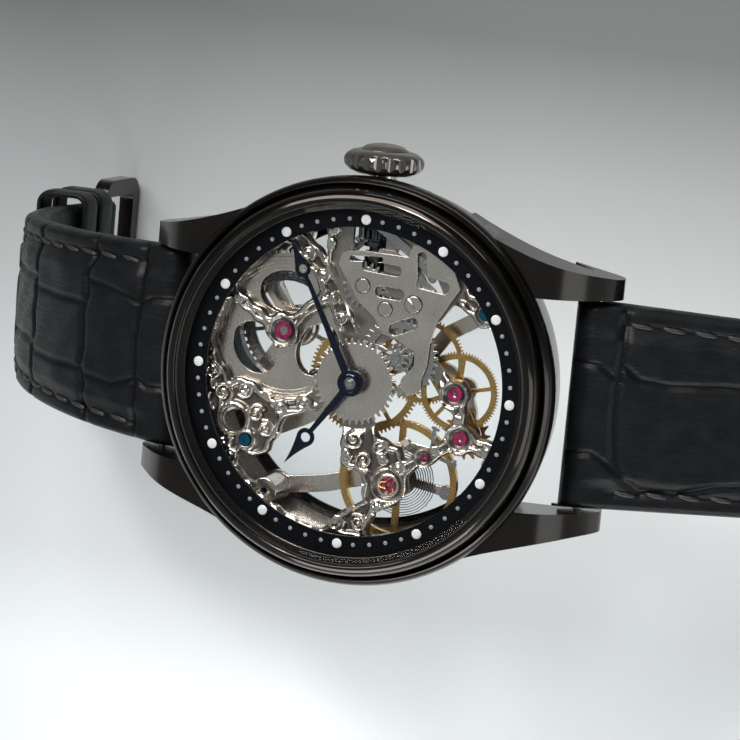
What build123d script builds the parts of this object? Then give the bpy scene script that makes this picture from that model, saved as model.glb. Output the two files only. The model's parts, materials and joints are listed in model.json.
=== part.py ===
"""Skeleton wristwatch: hand-wound movement, round case, leather strap with a pin buckle.

Millimetres. The dial faces +Z, 12 o'clock is +Y and the crown, at 3 o'clock, is +X.
The origin is on the hand axis, in the outer face of the case back.
"""
from build123d import *
import math
import os

# ---------------------------------------------------------------- case
CASE_R = 21.4            # widest radius of the case, at the shoulder
CASE_BORE_R = 19.0       # room for the movement and its holder ring
CASE_BOTTOM_Z = 1.5      # joint between case middle and case back
BEZEL_SEAT_Z = 8.7
BEZEL_R = 20.3
CRYSTAL_R = 18.7
CRYSTAL_Z = (10.3, 11.35)
BACK_CRYSTAL_R = 16.2
LUG_GAP = 22.2           # between the inner faces of a pair of lugs
LUG_TIP_Y = 25.7
BAR_Y = 23.3             # spring bar axis from the hand axis
BAR_Z = 1.4
BAR_R = 0.75
RING_Z = (8.8, 9.2)      # chapter ring

# ---------------------------------------------------------------- movement
PLATE_R = 18.3
PLATE_Z = (6.75, 7.35)   # main plate, back face and dial face
RIM_TOP_Z = 8.0
BRIDGE_Z = (2.6, 3.7)
STEM_Z = 4.9
CROWN_X = 21.5           # inner face of the crown

CENTRE = (0.0, 0.0)
BARREL = (4.18, 8.53)
THIRD = (2.62, -6.22)
FOURTH = (0.0, -10.6)
ESCAPE = (-4.51, -11.58)
PALLET = (-7.05, -8.0)
BALANCE = (-10.5, -4.35)
MINUTE = (3.10, -4.42)
SETTING = (7.95, -2.60)
CROWN_WHEEL = (10.926, 0.0)

# teeth and module of each mesh
BARREL_TEETH = 80
CENTRE_LEAVES = 12
BARREL_MODULE = 0.2065
CENTRE_TEETH = 80
THIRD_LEAVES = 10
CENTRE_MODULE = 0.15
THIRD_TEETH = 75
FOURTH_LEAVES = 10
THIRD_MODULE = 0.12
FOURTH_TEETH = 80
ESCAPE_LEAVES = 8
FOURTH_MODULE = 0.105
CANNON_TEETH = 12
MINUTE_TEETH = 36
MOTION_MODULE = 0.225
MINUTE_LEAVES = 10
HOUR_TEETH = 40
HOUR_MODULE = 0.216
SETTING_TEETH = 10
INTERMEDIATE_TEETH = 20
CROWN_WHEEL_TEETH = 35
RATCHET_TEETH = 52
WINDING_MODULE = 0.25
WINDING_LEAVES = 14

# ---------------------------------------------------------------- hands
MINUTE_ANGLE = 61.0      # clockwise from 12 o'clock
HOUR_ANGLE = 305.0
HAND_THICK = 0.18

# ---------------------------------------------------------------- strap
STRAP_W = 21.8
STRAP_END_W = 18.0
STRAP_THICK = 4.2        # padded end at the case
STRAP_THIN = 2.4         # free end
SHORT_DROOP = 16.0       # degrees below level where the short piece leaves the case
SHORT_LEAD = 2.0
SHORT_R = 38.0
SHORT_DROP = 11.0
LONG_DROOP = 15.0
LONG_LEAD = 19.0
LONG_R = 42.0
LONG_TAIL = 24.2


def polar(radius, degrees, centre=(0.0, 0.0)):
    """A point at a radius and angle about a centre."""
    a = math.radians(degrees)
    return centre[0] + radius * math.cos(a), centre[1] + radius * math.sin(a)


def bearing(a, b):
    """Direction from point a to point b, in degrees."""
    return math.degrees(math.atan2(b[1] - a[1], b[0] - a[0]))


def distance(a, b):
    """Length from point a to point b."""
    return math.hypot(b[0] - a[0], b[1] - a[1])


def rod(at, radius, z0, z1):
    """A cylinder along Z between two heights."""
    return Pos(at[0], at[1], z0) * extrude(Circle(radius), z1 - z0)


def washer(at, outer, inner, z0, z1):
    """A flat ring between two heights."""
    return Pos(at[0], at[1], z0) * extrude(Circle(outer) - Circle(inner), z1 - z0)


def turned(points, axis=Axis.Z):
    """A body of revolution from (radius, height) corners."""
    return revolve(make_face(Polyline([(r, 0, z) for r, z in points], close=True)), axis)


def bar(a, b, width):
    """A flat arm with round ends from point a to point b."""
    middle = ((a[0] + b[0]) / 2, (a[1] + b[1]) / 2)
    return Pos(*middle) * Rot(0, 0, bearing(a, b)) * SlotCenterToCenter(distance(a, b), width)


def arms(points, width):
    """Arms in a row through the points."""
    return [bar(a, b, width) for a, b in zip(points, points[1:])]


def disc(at, radius):
    """A flat round boss."""
    return Pos(*at) * Circle(radius)


def plate(shapes, holes, z0, z1):
    """A flat plate fused from outlines, with holes."""
    outline = Sketch() + shapes
    if holes:
        outline = outline - holes
    return Pos(0, 0, z0) * extrude(outline, z1 - z0)


def toothed(teeth, module, aim, gap=False, fill=0.40):
    """Outline of a spur gear with a tooth, or a gap, pointing along the aim."""
    pitch_r = teeth * module / 2
    step = 360.0 / teeth
    start = aim + (step / 2 if gap else 0.0)
    root_r = pitch_r - 1.3 * module
    tip_r = pitch_r + 0.95 * module
    points = []
    for i in range(teeth):
        middle = start + i * step
        for radius, share in ((root_r, -0.72 * fill), (pitch_r, -0.5 * fill), (tip_r, -0.2 * fill),
                              (tip_r, 0.2 * fill), (pitch_r, 0.5 * fill), (root_r, 0.72 * fill)):
            points.append(polar(radius, middle + share * step))
    return make_face(Polyline(points, close=True))


def pinion(at, teeth, module, aim, z0, z1, gap=True, bore=0.0):
    """A small gear, cut from its arbor or bored to run on a post."""
    outline = toothed(teeth, module, aim, gap, fill=0.36)
    if bore:
        outline = outline - Circle(bore)
    return Pos(at[0], at[1], z0) * extrude(outline, z1 - z0)


def wheel(at, teeth, module, aim, z0, z1, rim, hub, bore, spokes, gap=False, turn=0.0):
    """A wheel with a toothed rim, straight spokes and a bored hub."""
    outline = toothed(teeth, module, aim, gap)
    inner = teeth * module / 2 - rim
    spoke = Rectangle(inner, 0.42)
    rays = [Rot(0, 0, turn + 360 * i / spokes) * Pos(inner / 2 + 0.05, 0) * spoke for i in range(spokes)]
    outline = outline - Circle(inner) + ([Circle(hub)] + rays) - Circle(bore)
    return Pos(at[0], at[1], z0) * extrude(outline, z1 - z0)


def spiral(inner, outer, turns, thick, z0, z1, start, per_turn=30):
    """A flat coiled strip."""
    count = int(turns * per_turn)
    near, far = [], []
    for i in range(count + 1):
        radius = inner + (outer - inner) * i / count
        degrees = start + 360 * turns * i / count
        near.append(polar(radius - thick / 2, degrees))
        far.append(polar(radius + thick / 2, degrees))
    return Pos(0, 0, z0) * extrude(make_face(Polyline(near + far[::-1], close=True)), z1 - z0)


def slotted_screw(at, head_r, shank_r, z_head, z_seat, z_end, turn):
    """A cheese-head screw along Z with a straight slot across its head."""
    up = 1 if z_head > z_seat else -1
    head = rod(at, head_r, min(z_head, z_seat), max(z_head, z_seat))
    shank = rod(at, shank_r, min(z_end, z_seat), max(z_end, z_seat))
    slot = Pos(at[0], at[1], z_head - up * 0.06) * Rot(0, 0, turn) * Box(2.4 * head_r, 0.16, 0.14)
    return head + shank - slot


# ================================================================ case
def case_middle():
    """Turned case body with four lugs, a bore for the movement and a hole for the crown tube."""
    top_z = 9.55
    corners = [(CASE_BORE_R, CASE_BOTTOM_Z), (20.0, CASE_BOTTOM_Z), (20.35, 1.9), (20.75, 4.2),
               (21.05, 6.6), (CASE_R, 7.7), (CASE_R, 8.7), (21.15, 9.3), (20.75, top_z), (20.5, 9.3),
               (BEZEL_R + 0.05, 8.95), (BEZEL_R + 0.05, BEZEL_SEAT_Z), (CASE_BORE_R, BEZEL_SEAT_Z)]
    body = turned(corners)
    upper = Spline([(0, 17.0, 8.3), (0, 20.2, 7.6), (0, 22.6, 5.8), (0, 24.6, 3.3), (0, LUG_TIP_Y, 1.1)],
                   tangents=[(0, 1, 0), (0, 0.25, -1)])
    under = Spline([(0, LUG_TIP_Y, 1.1), (0, 25.2, -0.7), (0, 23.6, -0.9), (0, 20.4, 0.5), (0, 17.0, 2.3)],
                   tangents=[(0, 0.05, -1), (0, -1, 0.15)])
    side = make_face([Line((0, 9.6, 8.3), (0, 17.0, 8.3)), upper, under,
                      Polyline([(0, 17.0, 2.3), (0, 9.6, 2.4), (0, 9.6, 8.3)])])
    inner_x = LUG_GAP / 2
    plan_edge = ThreePointArc((18.4, 9.6), (15.15, 17.65), (13.25, LUG_TIP_Y))
    plan_rest = Polyline([(13.25, LUG_TIP_Y), (inner_x, LUG_TIP_Y), (inner_x, 9.6), (18.4, 9.6)])
    plan = make_face([plan_edge, plan_rest])
    lug = extrude(side, 24, dir=(1, 0, 0)) & Pos(0, 0, -4) * extrude(plan, 20)
    lugs = [lug, mirror(lug, Plane.YZ), mirror(lug, Plane.XZ), mirror(mirror(lug, Plane.YZ), Plane.XZ)]
    room = rod(CENTRE, CASE_BORE_R, -2, BEZEL_SEAT_Z + 1) + rod(CENTRE, BEZEL_R + 0.05, BEZEL_SEAT_Z, 12)
    below = rod(CENTRE, 20.0, -4, CASE_BOTTOM_Z)
    body = body + lugs - [room, below]
    tip_holes = [Pos(0, y, BAR_Z) * Rot(0, 90, 0) * Cylinder(0.45, LUG_GAP + 2.0) for y in (BAR_Y, -BAR_Y)]
    tube_hole = Pos(20, 0, STEM_Z) * Rot(0, 90, 0) * Cylinder(1.5, 5.0)
    foot_holes = [rod(polar(19.5, 30 + 60 * i), 0.32, CASE_BOTTOM_Z, CASE_BOTTOM_Z + 1.6) for i in range(6)]
    return body - (tip_holes + [tube_hole] + foot_holes)


def bezel():
    """Polished ring that holds the crystal on an inner lip."""
    return turned([(18.1, 9.3), (18.1, 10.25), (18.9, 10.25), (18.9, 11.15), (19.15, 11.25),
                   (19.6, 11.1), (20.0, 10.6), (BEZEL_R - 0.05, 9.9), (BEZEL_R, 9.3),
                   (BEZEL_R, BEZEL_SEAT_Z), (19.05, BEZEL_SEAT_Z), (19.05, 9.3)])


def crystal():
    """Flat sapphire crystal with a bevelled edge."""
    z0, z1 = CRYSTAL_Z
    return turned([(0, z0), (CRYSTAL_R, z0), (CRYSTAL_R, z1 - 0.35), (CRYSTAL_R - 0.6, z1), (0, z1)])


def crystal_gaskets():
    """Thin rings around the front and back crystals."""
    front = washer(CENTRE, 18.88, CRYSTAL_R + 0.02, CRYSTAL_Z[0], 10.95)
    back = washer(CENTRE, 16.48, BACK_CRYSTAL_R + 0.02, 0.32, 1.3)
    return Compound(children=[front, back])


def back_crystal():
    """Flat crystal in the case back."""
    return rod(CENTRE, BACK_CRYSTAL_R, 0.32, 1.3)


def case_back():
    """Screwed ring around the back crystal."""
    ring = turned([(15.6, 0), (18.9, 0), (19.6, 0.35), (19.98, 0.9), (19.98, CASE_BOTTOM_Z),
                   (18.95, CASE_BOTTOM_Z), (18.95, 1.9), (17.9, 1.9), (17.9, 1.4), (16.5, 1.4),
                   (16.5, 0.3), (15.6, 0.3)])
    holes = []
    for i in range(6):
        at = polar(19.5, 30 + 60 * i)
        holes += [rod(at, 0.32, -1, 3)]
    return ring - holes


def case_back_screws():
    """Six small screws around the case back."""
    screws = []
    for i in range(6):
        at = polar(19.5, 30 + 60 * i)
        screws.append(rod(at, 0.30, 0.75, CASE_BOTTOM_Z + 1.5))
    return Compound(children=screws)


def movement_ring():
    """Holder ring between movement and case, open where the stem passes."""
    ring = washer(CENTRE, 18.95, PLATE_R + 0.05, 2.3, 8.75)
    return ring - Pos(18.6, 0, STEM_Z) * Rot(0, 90, 0) * Cylinder(1.2, 3.0)


def crown_tube():
    """Tube pressed into the case, which the stem runs through."""
    return along_stem(19.2, 22.1, 1.48, 0.85)


def chapter_ring():
    """Flat minute track."""
    return washer(CENTRE, 18.55, 16.15, *RING_Z)


def minute_dots():
    """Twelve hour dots and forty-eight minute dots on the track."""
    dots = []
    for i in range(60):
        radius = 0.56 if i % 5 == 0 else 0.24
        dots.append(rod(polar(17.0, 90 - 6 * i), radius, RING_Z[1], RING_Z[1] + 0.05))
    return Compound(children=dots)


# ================================================================ plates and bridges
def main_plate():
    """Skeletonised main plate: rim, keyless field, arms to the jewels and a turned-up edge."""
    rim = [Circle(PLATE_R) - Circle(16.3)]
    keyless = make_face(Polyline([(17.0, 4.6), (12.0, 4.4), (9.2, 2.9), (6.4, 1.7), (4.4, 0.4),
                                  (3.6, -1.6), (5.0, -3.4), (6.2, -6.0), (7.2, -8.2), (10.6, -10.6),
                                  (12.6, -11.6), (16.2, -6.0)], close=True))
    column = arms([(3.0, 0.6), (6.4, 2.0), (9.4, 3.6), (11.6, 5.2), (14.6, 8.6)], 2.3)
    barrel_arm = arms([(8.2, 15.0), (6.2, 12.6), (5.0, 10.4), BARREL, (6.6, 6.0), (8.6, 4.0)], 1.4)
    left = arms([(0.0, 2.4), (-2.6, 4.2), (-3.9, 7.6), (-4.4, 10.8), (-5.9, 13.2), (-8.2, 12.6),
                 (-9.6, 13.6)], 2.1)
    left_low = arms([(-5.9, 13.2), (-2.8, 14.6), (0.0, 16.6)], 2.4)
    balance = [make_face(Polyline([(-3.6, 1.2), (-8.9, 1.0), (-9.6, -1.4), (-12.4, -1.8), (-14.0, 0.6),
                                   (-16.4, 2.4), (-16.6, -2.2), (-13.6, -3.2), (-12.4, -5.4), (-10.2, -6.6),
                                   (-7.9, -6.4), (-6.4, -5.2), (-5.6, -3.0), (-3.4, -1.8)], close=True))]
    pallet_arm = arms([(-8.4, -6.0), PALLET, (-5.8, -10.0), ESCAPE], 1.5)
    train_arm = arms([ESCAPE, (-2.2, -11.3), FOURTH, (1.8, -8.6), (3.4, -7.2), (5.4, -6.0)], 1.5)
    right_arm = arms([ESCAPE, (-5.0, -13.4), (-5.6, -15.8)], 1.8)
    screw_arm = arms([(10.4, -9.8), (8.7, -13.2), (10.0, -13.9)], 2.0)
    hubs = [disc(CENTRE, 3.0), disc(BARREL, 1.9), disc(BALANCE, 2.1), disc(ESCAPE, 1.7),
            disc(FOURTH, 1.7), disc(PALLET, 0.9), disc((-5.9, 13.2), 2.0), disc((-7.9, 11.7), 1.1),
            disc((8.7, -13.2), 1.6), disc(MINUTE, 1.4), disc(THIRD, 1.2)]
    shapes = rim + [keyless] + column + barrel_arm + left + left_low + balance
    shapes += pallet_arm + train_arm + right_arm + screw_arm + hubs
    holes = [disc(CENTRE, 0.95), disc(BARREL, 1.0), disc(BALANCE, 1.25), disc(ESCAPE, 0.78),
             disc(FOURTH, 0.82), disc(PALLET, 0.45), disc(THIRD, 0.5), disc(MINUTE, 0.36),
             disc((-5.9, 13.2), 1.3), disc((-7.9, 11.7), 0.36), disc((8.7, -13.2), 0.36),
             disc(SETTING, 0.41), disc(INTERMEDIATE, 0.41), disc(COVER_SCREW, 0.31)]
    holes += [bar((11.2, 0.0), (15.9, 0.0), 3.6), bar((16.4, -0.9), (17.3, -1.5), 1.0),
              bar((13.6, -3.8), (10.6, -5.2), 1.6), bar((12.2, -6.6), (9.2, -8.2), 1.3)]
    base = plate(shapes, holes, *PLATE_Z)
    edge = washer(CENTRE, PLATE_R, 16.9, PLATE_Z[1], RIM_TOP_Z)
    edge = edge - Pos(17, 0, PLATE_Z[1]) * Box(4, 7.0, 3)
    return base + edge


def plate_jewels():
    """Pierced jewels set in the main plate."""
    jewels = [washer(BARREL, 0.99, 0.56, 7.0, 7.3), washer(ESCAPE, 0.77, 0.14, 7.0, 7.28),
              washer(FOURTH, 0.81, 0.16, 7.0, 7.28), washer(PALLET, 0.44, 0.14, 7.0, 7.28),
              washer(THIRD, 0.49, 0.16, 7.0, 7.28), washer(CENTRE, 0.94, 0.44, 7.0, 7.28)]
    return Compound(children=jewels)


def shock_settings():
    """Balance cap jewels held by spring collars, one in the plate and one in the cock."""
    low = washer(BALANCE, 1.24, 0.9, 6.95, 7.3) + washer(BALANCE, 0.9, 0.3, 7.02, 7.1)
    high = washer(BALANCE, 1.0, 0.7, 2.05, 2.5) + washer(BALANCE, 0.7, 0.3, 2.2, 2.3)
    return Compound(children=[low, high])


def bridge_foot(at, radius):
    """A pillar from a bridge up to the main plate."""
    return rod(at, radius, BRIDGE_Z[1] - 0.3, PLATE_Z[0])


def barrel_bridge():
    """Open-worked bridge over barrel and winding wheels, on pillars near the rim."""
    span = arms([(-4.6, 14.6), (-0.6, 11.6), BARREL, (7.6, 4.2), CROWN_WHEEL, (12.4, -5.2),
                 BARREL_FEET[2]], 1.7)
    side = arms([BARREL, (8.0, 11.4), (11.6, 12.0), (13.2, 10.4), (14.2, 8.6)], 1.6)
    hubs = [disc(BARREL, 2.0), disc(CROWN_WHEEL, 1.5)] + [disc(p, 1.25) for p in BARREL_FEET]
    body = plate(span + side + hubs, [disc(BARREL, 0.72)], *BRIDGE_Z)
    body = body + [bridge_foot(p, 1.1) for p in BARREL_FEET]
    clear = washer(CROWN_WHEEL, 5.0, 3.5, BRIDGE_Z[0] - 1, 3.32)
    screw_holes = [rod(p, 0.36, 0, 9) for p in BARREL_FEET]
    posts = [rod(CLICK_PIVOT, 0.95, BRIDGE_Z[0], BRIDGE_Z[1])]
    stem_room = along_stem(9.0, 16.4, 1.6)
    return body + posts - ([clear, stem_room, rod(CROWN_WHEEL, 0.42, 0, 3.2)] + screw_holes)


def train_bridge():
    """Bridge over centre, third, fourth and escape wheels."""
    spine = arms([(-3.2, 3.0), CENTRE, (1.6, -3.4), THIRD, (1.6, -8.8), FOURTH, (-2.4, -11.4), ESCAPE,
                  (-6.6, -14.2)], 1.5)
    side = arms([THIRD, (5.6, -8.2), (8.7, -13.2)], 1.6)
    brace = arms([(-3.2, 3.0), (-5.4, 6.6), (-7.9, 11.7)], 1.5)
    hubs = [disc(CENTRE, 1.5), disc(THIRD, 1.2), disc(FOURTH, 1.3), disc(ESCAPE, 1.2)]
    hubs += [disc(p, 1.2) for p in TRAIN_FEET]
    holes = [disc(CENTRE, 0.9), disc(THIRD, 0.62), disc(FOURTH, 0.62), disc(ESCAPE, 0.62)]
    body = plate(spine + side + brace + hubs, holes, 2.9, BRIDGE_Z[1])
    body = body + [bridge_foot(p, 1.0) for p in TRAIN_FEET]
    return body - [rod(p, 0.36, 0, 9) for p in TRAIN_FEET]


def balance_cock():
    """Cock that carries the balance, on one pillar at the left rim."""
    span = arms([BALANCE, (-10.8, -0.6), (-12.2, 4.0), COCK_FOOT], 1.9)
    hubs = [disc(BALANCE, 1.7), disc(COCK_FOOT, 1.6), disc(STUD, 0.8)]
    stud_arm = arms([BALANCE, STUD], 1.0)
    body = plate(span + stud_arm + hubs, [disc(BALANCE, 1.02), disc(STUD, 0.32)], 2.0, 2.6)
    pillar = rod(COCK_FOOT, 1.4, 2.6, PLATE_Z[0])
    return body + pillar - rod(COCK_FOOT, 0.36, 0, 9)


def pallet_cock():
    """Small bridge over the pallet fork."""
    foot = (-6.6, -4.9)
    outline = arms([foot, PALLET], 1.1) + [disc(PALLET, 0.75), disc(foot, 0.8)]
    return plate(outline, [disc(PALLET, 0.42)], 3.98, 4.3) + rod(foot, 0.7, 4.0, PLATE_Z[0])


def bridge_jewels():
    """Pierced jewels set in the bridges."""
    jewels = [washer(CENTRE, 0.89, 0.44, 3.1, 3.5), washer(THIRD, 0.61, 0.16, 3.1, 3.5),
              washer(FOURTH, 0.61, 0.16, 3.1, 3.5), washer(ESCAPE, 0.61, 0.14, 3.1, 3.5),
              washer(PALLET, 0.41, 0.14, 4.02, 4.26)]
    return Compound(children=jewels)


def movement_screws():
    """Blued screws of the bridges and the main plate."""
    screws = []
    for i, p in enumerate(BARREL_FEET):
        screws.append(slotted_screw(p, 0.85, 0.34, 2.15, BRIDGE_Z[0], 6.0, 40 * i))
    for i, p in enumerate(TRAIN_FEET):
        screws.append(slotted_screw(p, 0.80, 0.34, 2.45, 2.9, 6.0, 25 + 50 * i))
    screws.append(slotted_screw(COCK_FOOT, 0.95, 0.34, 1.6, 2.0, 6.0, 70))
    for p, turn in (((-7.9, 11.7), 15), ((8.7, -13.2), 60)):
        screws.append(slotted_screw(p, 0.62, 0.34, 7.7, PLATE_Z[1], 6.3, turn))
    screws.append(rod(CLICK_PIVOT, 0.29, 2.0, 2.6) + rod(CLICK_PIVOT, 0.55, 1.7, 2.0))
    screws.append(slotted_screw(CROWN_WHEEL, 1.2, 0.40, 1.65, 1.95, 3.15, 75))
    return Compound(children=screws)


# ================================================================ keyless works
def keyless_cover():
    """Flat cover plate with cut-outs that holds the keyless works, standing on three posts."""
    z0, z1 = 7.98, 8.22
    outline = make_face(Polyline([(13.3, 2.5), (13.7, 0.4), (13.6, -4.6), (15.0, -5.0), (14.8, -7.2),
                                  (13.0, -9.5), (11.0, -10.4), (7.4, -8.3), (4.9, -7.7), (2.65, -7.6),
                                  (0.7, -7.0), (-0.1, -5.7), (0.8, -5.1), (2.5, -6.2), (3.9, -6.2),
                                  (4.9, -4.3), (5.4, -2.4), (6.9, -1.5), (8.4, 0.4), (10.1, 1.6),
                                  (12.0, 2.9)], close=True))
    windows = [bar((12.75, 1.5), (13.0, -1.6), 0.55), bar((12.2, -0.2), (12.0, -3.4), 1.1),
               bar((13.8, -6.0), (11.2, -6.3), 1.0), bar((11.2, -6.3), (10.9, -8.6), 1.3),
               bar((9.7, -1.9), (9.6, -3.9), 1.2), bar((6.0, -3.8), (6.8, -5.6), 1.3)]
    holes = [disc(INTERMEDIATE, 0.41), disc(SETTING, 0.41), disc(COVER_SCREW, 0.31)]
    return plate([outline, disc((0.55, -6.05), 1.1)], windows + holes, z0, z1)


def keyless_screws():
    """Two posts with flat heads and a slotted screw that hold the cover plate."""
    parts = [rod(INTERMEDIATE, 0.40, 6.9, 8.24) + rod(INTERMEDIATE, 0.74, 8.22, 8.36),
             rod(SETTING, 0.40, 6.9, 8.24) + rod(SETTING, 0.74, 8.22, 8.36),
             slotted_screw(COVER_SCREW, 0.88, 0.30, 8.48, 8.22, 6.9, 40)]
    return Compound(children=parts)


def setting_lever():
    """Lever that the stem groove moves."""
    shape = arms([LEVER_PIVOT, (14.0, -4.6), (15.3, -2.6), (16.4, -0.8)], 0.9)
    shape += arms([LEVER_PIVOT, (11.6, -7.2)], 0.9)
    finger = Pos(16.4, -0.72, 6.1) * Box(0.5, 0.5, 2.8)
    return plate(shape, [disc(LEVER_PIVOT, 0.34)], 7.45, 7.72) + finger


def yoke():
    """Yoke that shifts the sliding pinion."""
    shape = arms([YOKE_PIVOT, (12.2, -4.8), (13.6, -2.8), (13.65, -1.5)], 0.8)
    finger = Pos(13.65, -1.42, 6.1) * Box(0.36, 0.32, 2.8)
    return plate(shape, [disc(YOKE_PIVOT, 0.34)], 7.45, 7.72) + finger


def pivot_posts():
    """Posts that the setting lever, the yoke and the minute wheel turn on."""
    return Compound(children=[rod(LEVER_PIVOT, 0.30, 7.35, 7.92), rod(YOKE_PIVOT, 0.30, 7.35, 7.92),
                              rod(MINUTE, 0.35, 6.8, 8.5)])


def meshing(at, teeth, other, other_teeth, other_tooth):
    """Direction of the gap that meshes with another gear, which has a tooth along other_tooth."""
    line = bearing(other, at)
    behind = (line - other_tooth) % (360.0 / other_teeth)
    return line + 180 + behind * other_teeth / teeth


def setting_gap():
    """Direction of a gap of the setting wheel that meshes with the minute wheel."""
    return meshing(SETTING, SETTING_TEETH, MINUTE, MINUTE_TEETH, bearing(MINUTE, CENTRE))


def setting_wheel():
    """Wheel between the intermediate wheel and the minute wheel."""
    return pinion(SETTING, SETTING_TEETH, MOTION_MODULE, setting_gap(), 7.5, 7.75, bore=0.46)


def intermediate_wheel():
    """Wheel that the sliding pinion drives when the crown is pulled."""
    tooth = setting_gap() + 180.0 / SETTING_TEETH
    aim = meshing(INTERMEDIATE, INTERMEDIATE_TEETH, SETTING, SETTING_TEETH, tooth)
    return wheel(INTERMEDIATE, INTERMEDIATE_TEETH, MOTION_MODULE, aim, 7.5, 7.75, 0.9, 1.1, 0.46, 6,
                 gap=True)


def along_stem(x0, x1, radius, bore=0.0):
    """A round part on the stem axis between two X positions."""
    shape = Circle(radius) - Circle(bore) if bore else Circle(radius)
    return Pos(x0, 0, STEM_Z) * Rot(0, 90, 0) * extrude(shape, x1 - x0)


def stem_gear(x0, x1, teeth, module, bore, aim):
    """A toothed part on the stem axis."""
    outline = toothed(teeth, module, aim) - Circle(bore)
    return Pos(x0, 0, STEM_Z) * Rot(0, 90, 0) * extrude(outline, x1 - x0)


def winding_pinion():
    """Pinion that turns the crown wheel, with clutch teeth on its inner face."""
    body = stem_gear(14.75, 15.85, WINDING_LEAVES, WINDING_MODULE, 0.66, 180.0 / WINDING_LEAVES)
    return body + along_stem(14.55, 14.75, 1.3, 0.66)


def sliding_pinion():
    """Clutch pinion that slides on the square of the stem, grooved for the yoke."""
    body = stem_gear(11.5, 12.3, 13, 0.18, 0.56, 0)
    body = body + along_stem(12.3, 13.4, 1.15, 0.56) + along_stem(13.4, 13.9, 0.72, 0.56)
    return body + along_stem(13.9, 14.4, 1.3, 0.56)


def stem():
    """Winding stem, square where the sliding pinion rides, grooved for the setting lever."""
    square = Pos(12.0, 0, STEM_Z) * Box(5.6, 0.72, 0.72)
    groove = along_stem(16.05, 16.75, 0.42)
    return square + along_stem(14.6, 16.05, 0.6) + groove + along_stem(16.75, 22.6, 0.6)


def crown():
    """Onion crown with rounded flutes and a plain dome, hollow over the crown tube."""
    lobes = 20
    wave = [polar(4.2 - 0.34 * (0.5 - 0.5 * math.cos(math.radians(lobes * a))), a) for a in range(0, 360, 3)]
    fluted = Pos(CROWN_X, 0, STEM_Z) * Rot(0, 90, 0) * extrude(make_face(Polyline(wave, close=True)), 4)
    knob = [(0, 0), (0, 3.0), (0.35, 3.75), (0.85, 4.12), (1.4, 4.2), (1.9, 3.95), (2.3, 3.35),
            (2.45, 2.75), (2.45, 0)]
    dome = [(2.0, 0), (2.0, 2.6), (2.5, 2.5), (2.9, 1.9), (3.1, 1.0), (3.18, 0)]
    body = turned_x(knob, CROWN_X) & fluted
    cavity = along_stem(CROWN_X - 0.2, CROWN_X + 1.1, 1.65)
    return body + turned_x(dome, CROWN_X) - cavity - along_stem(CROWN_X, 22.62, 0.6)


def turned_x(points, start):
    """A body of revolution about the stem axis from (distance from the start, radius) corners."""
    face = make_face(Polyline([(start + x, 0, STEM_Z + r) for x, r in points], close=True))
    return revolve(face, Axis((0, 0, STEM_Z), (1, 0, 0)))


# ================================================================ going train
def barrel_windows():
    """Three wide oval windows that show the spring, with broad spokes between them."""
    return [Rot(0, 0, 5 + 120 * i) * Pos(4.0, 0) * Ellipse(2.25, 2.9) for i in range(3)]


def barrel():
    """Toothed drum, its dial face cut away to show the spring."""
    outer = toothed(BARREL_TEETH, BARREL_MODULE, bearing(BARREL, CENTRE))
    flange = Pos(*BARREL, 5.85) * extrude(outer - Circle(7.3), 0.6)
    wall = washer(BARREL, 7.7, 7.3, 4.95, 6.6)
    outline = Circle(7.4) - Circle(0.62)
    floor = Pos(*BARREL, 6.38) * extrude(outline - barrel_windows(), 0.22)
    return flange + wall + floor


def barrel_cover():
    """Lid pressed into the drum on the bridge side."""
    outline = Circle(7.28) - Circle(0.62) - barrel_windows()
    return Pos(*BARREL, 4.95) * extrude(outline, 0.2)


def mainspring():
    """Coiled spring inside the drum, wound part way."""
    outer = spiral(5.1, 7.1, 6.5, 0.13, 5.2, 6.34, 200)
    return Pos(*BARREL) * outer


def barrel_arbor():
    """Arbor through barrel, bridge and ratchet wheel, with a hooked core."""
    arbor = rod(BARREL, 0.52, 2.35, 7.25) + rod(BARREL, 1.15, 5.2, 6.34)
    square = Pos(BARREL[0], BARREL[1], 2.17) * Box(0.72, 0.72, 0.4)
    return arbor + square + slotted_screw(BARREL, 1.2, 0.3, 1.65, 1.96, 2.2, 20)


def ratchet_wheel():
    """Wheel on the arbor's square, held by its own screw."""
    aim = bearing(BARREL, CROWN_WHEEL)
    body = wheel(BARREL, RATCHET_TEETH, WINDING_MODULE, aim, 2.0, 2.28, 1.5, 2.2, 0.53, 5, turn=30)
    return body - Pos(BARREL[0], BARREL[1], 2.2) * Box(0.78, 0.78, 0.8)


def crown_wheel():
    """Wheel driven by the winding pinion through upright teeth on its rim."""
    aim = bearing(CROWN_WHEEL, BARREL)
    body = wheel(CROWN_WHEEL, CROWN_WHEEL_TEETH, WINDING_MODULE, aim, 2.0, 2.33, 1.0, 1.5, 0.46, 5, gap=True)
    cog = Pos(4.2, 0, 2.69) * Box(0.62, 0.24, 0.76)
    cogs = [Rot(0, 0, 360 * i / CROWN_WHEEL_TEETH) * cog for i in range(CROWN_WHEEL_TEETH)]
    return body + [Pos(*CROWN_WHEEL) * c for c in cogs]


def click():
    """Pawl that stops the ratchet wheel from running back."""
    tip = polar(RATCHET_TEETH * WINDING_MODULE / 2 + 0.54, bearing(BARREL, CLICK_PIVOT) - 18, BARREL)
    tail = polar(1.5, bearing(BARREL, CLICK_PIVOT) + 95, CLICK_PIVOT)
    shapes = [disc(CLICK_PIVOT, 0.8), bar(CLICK_PIVOT, tip, 0.46), bar(CLICK_PIVOT, tail, 0.6)]
    return plate(shapes, [disc(CLICK_PIVOT, 0.32)], 2.05, 2.4)


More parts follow.
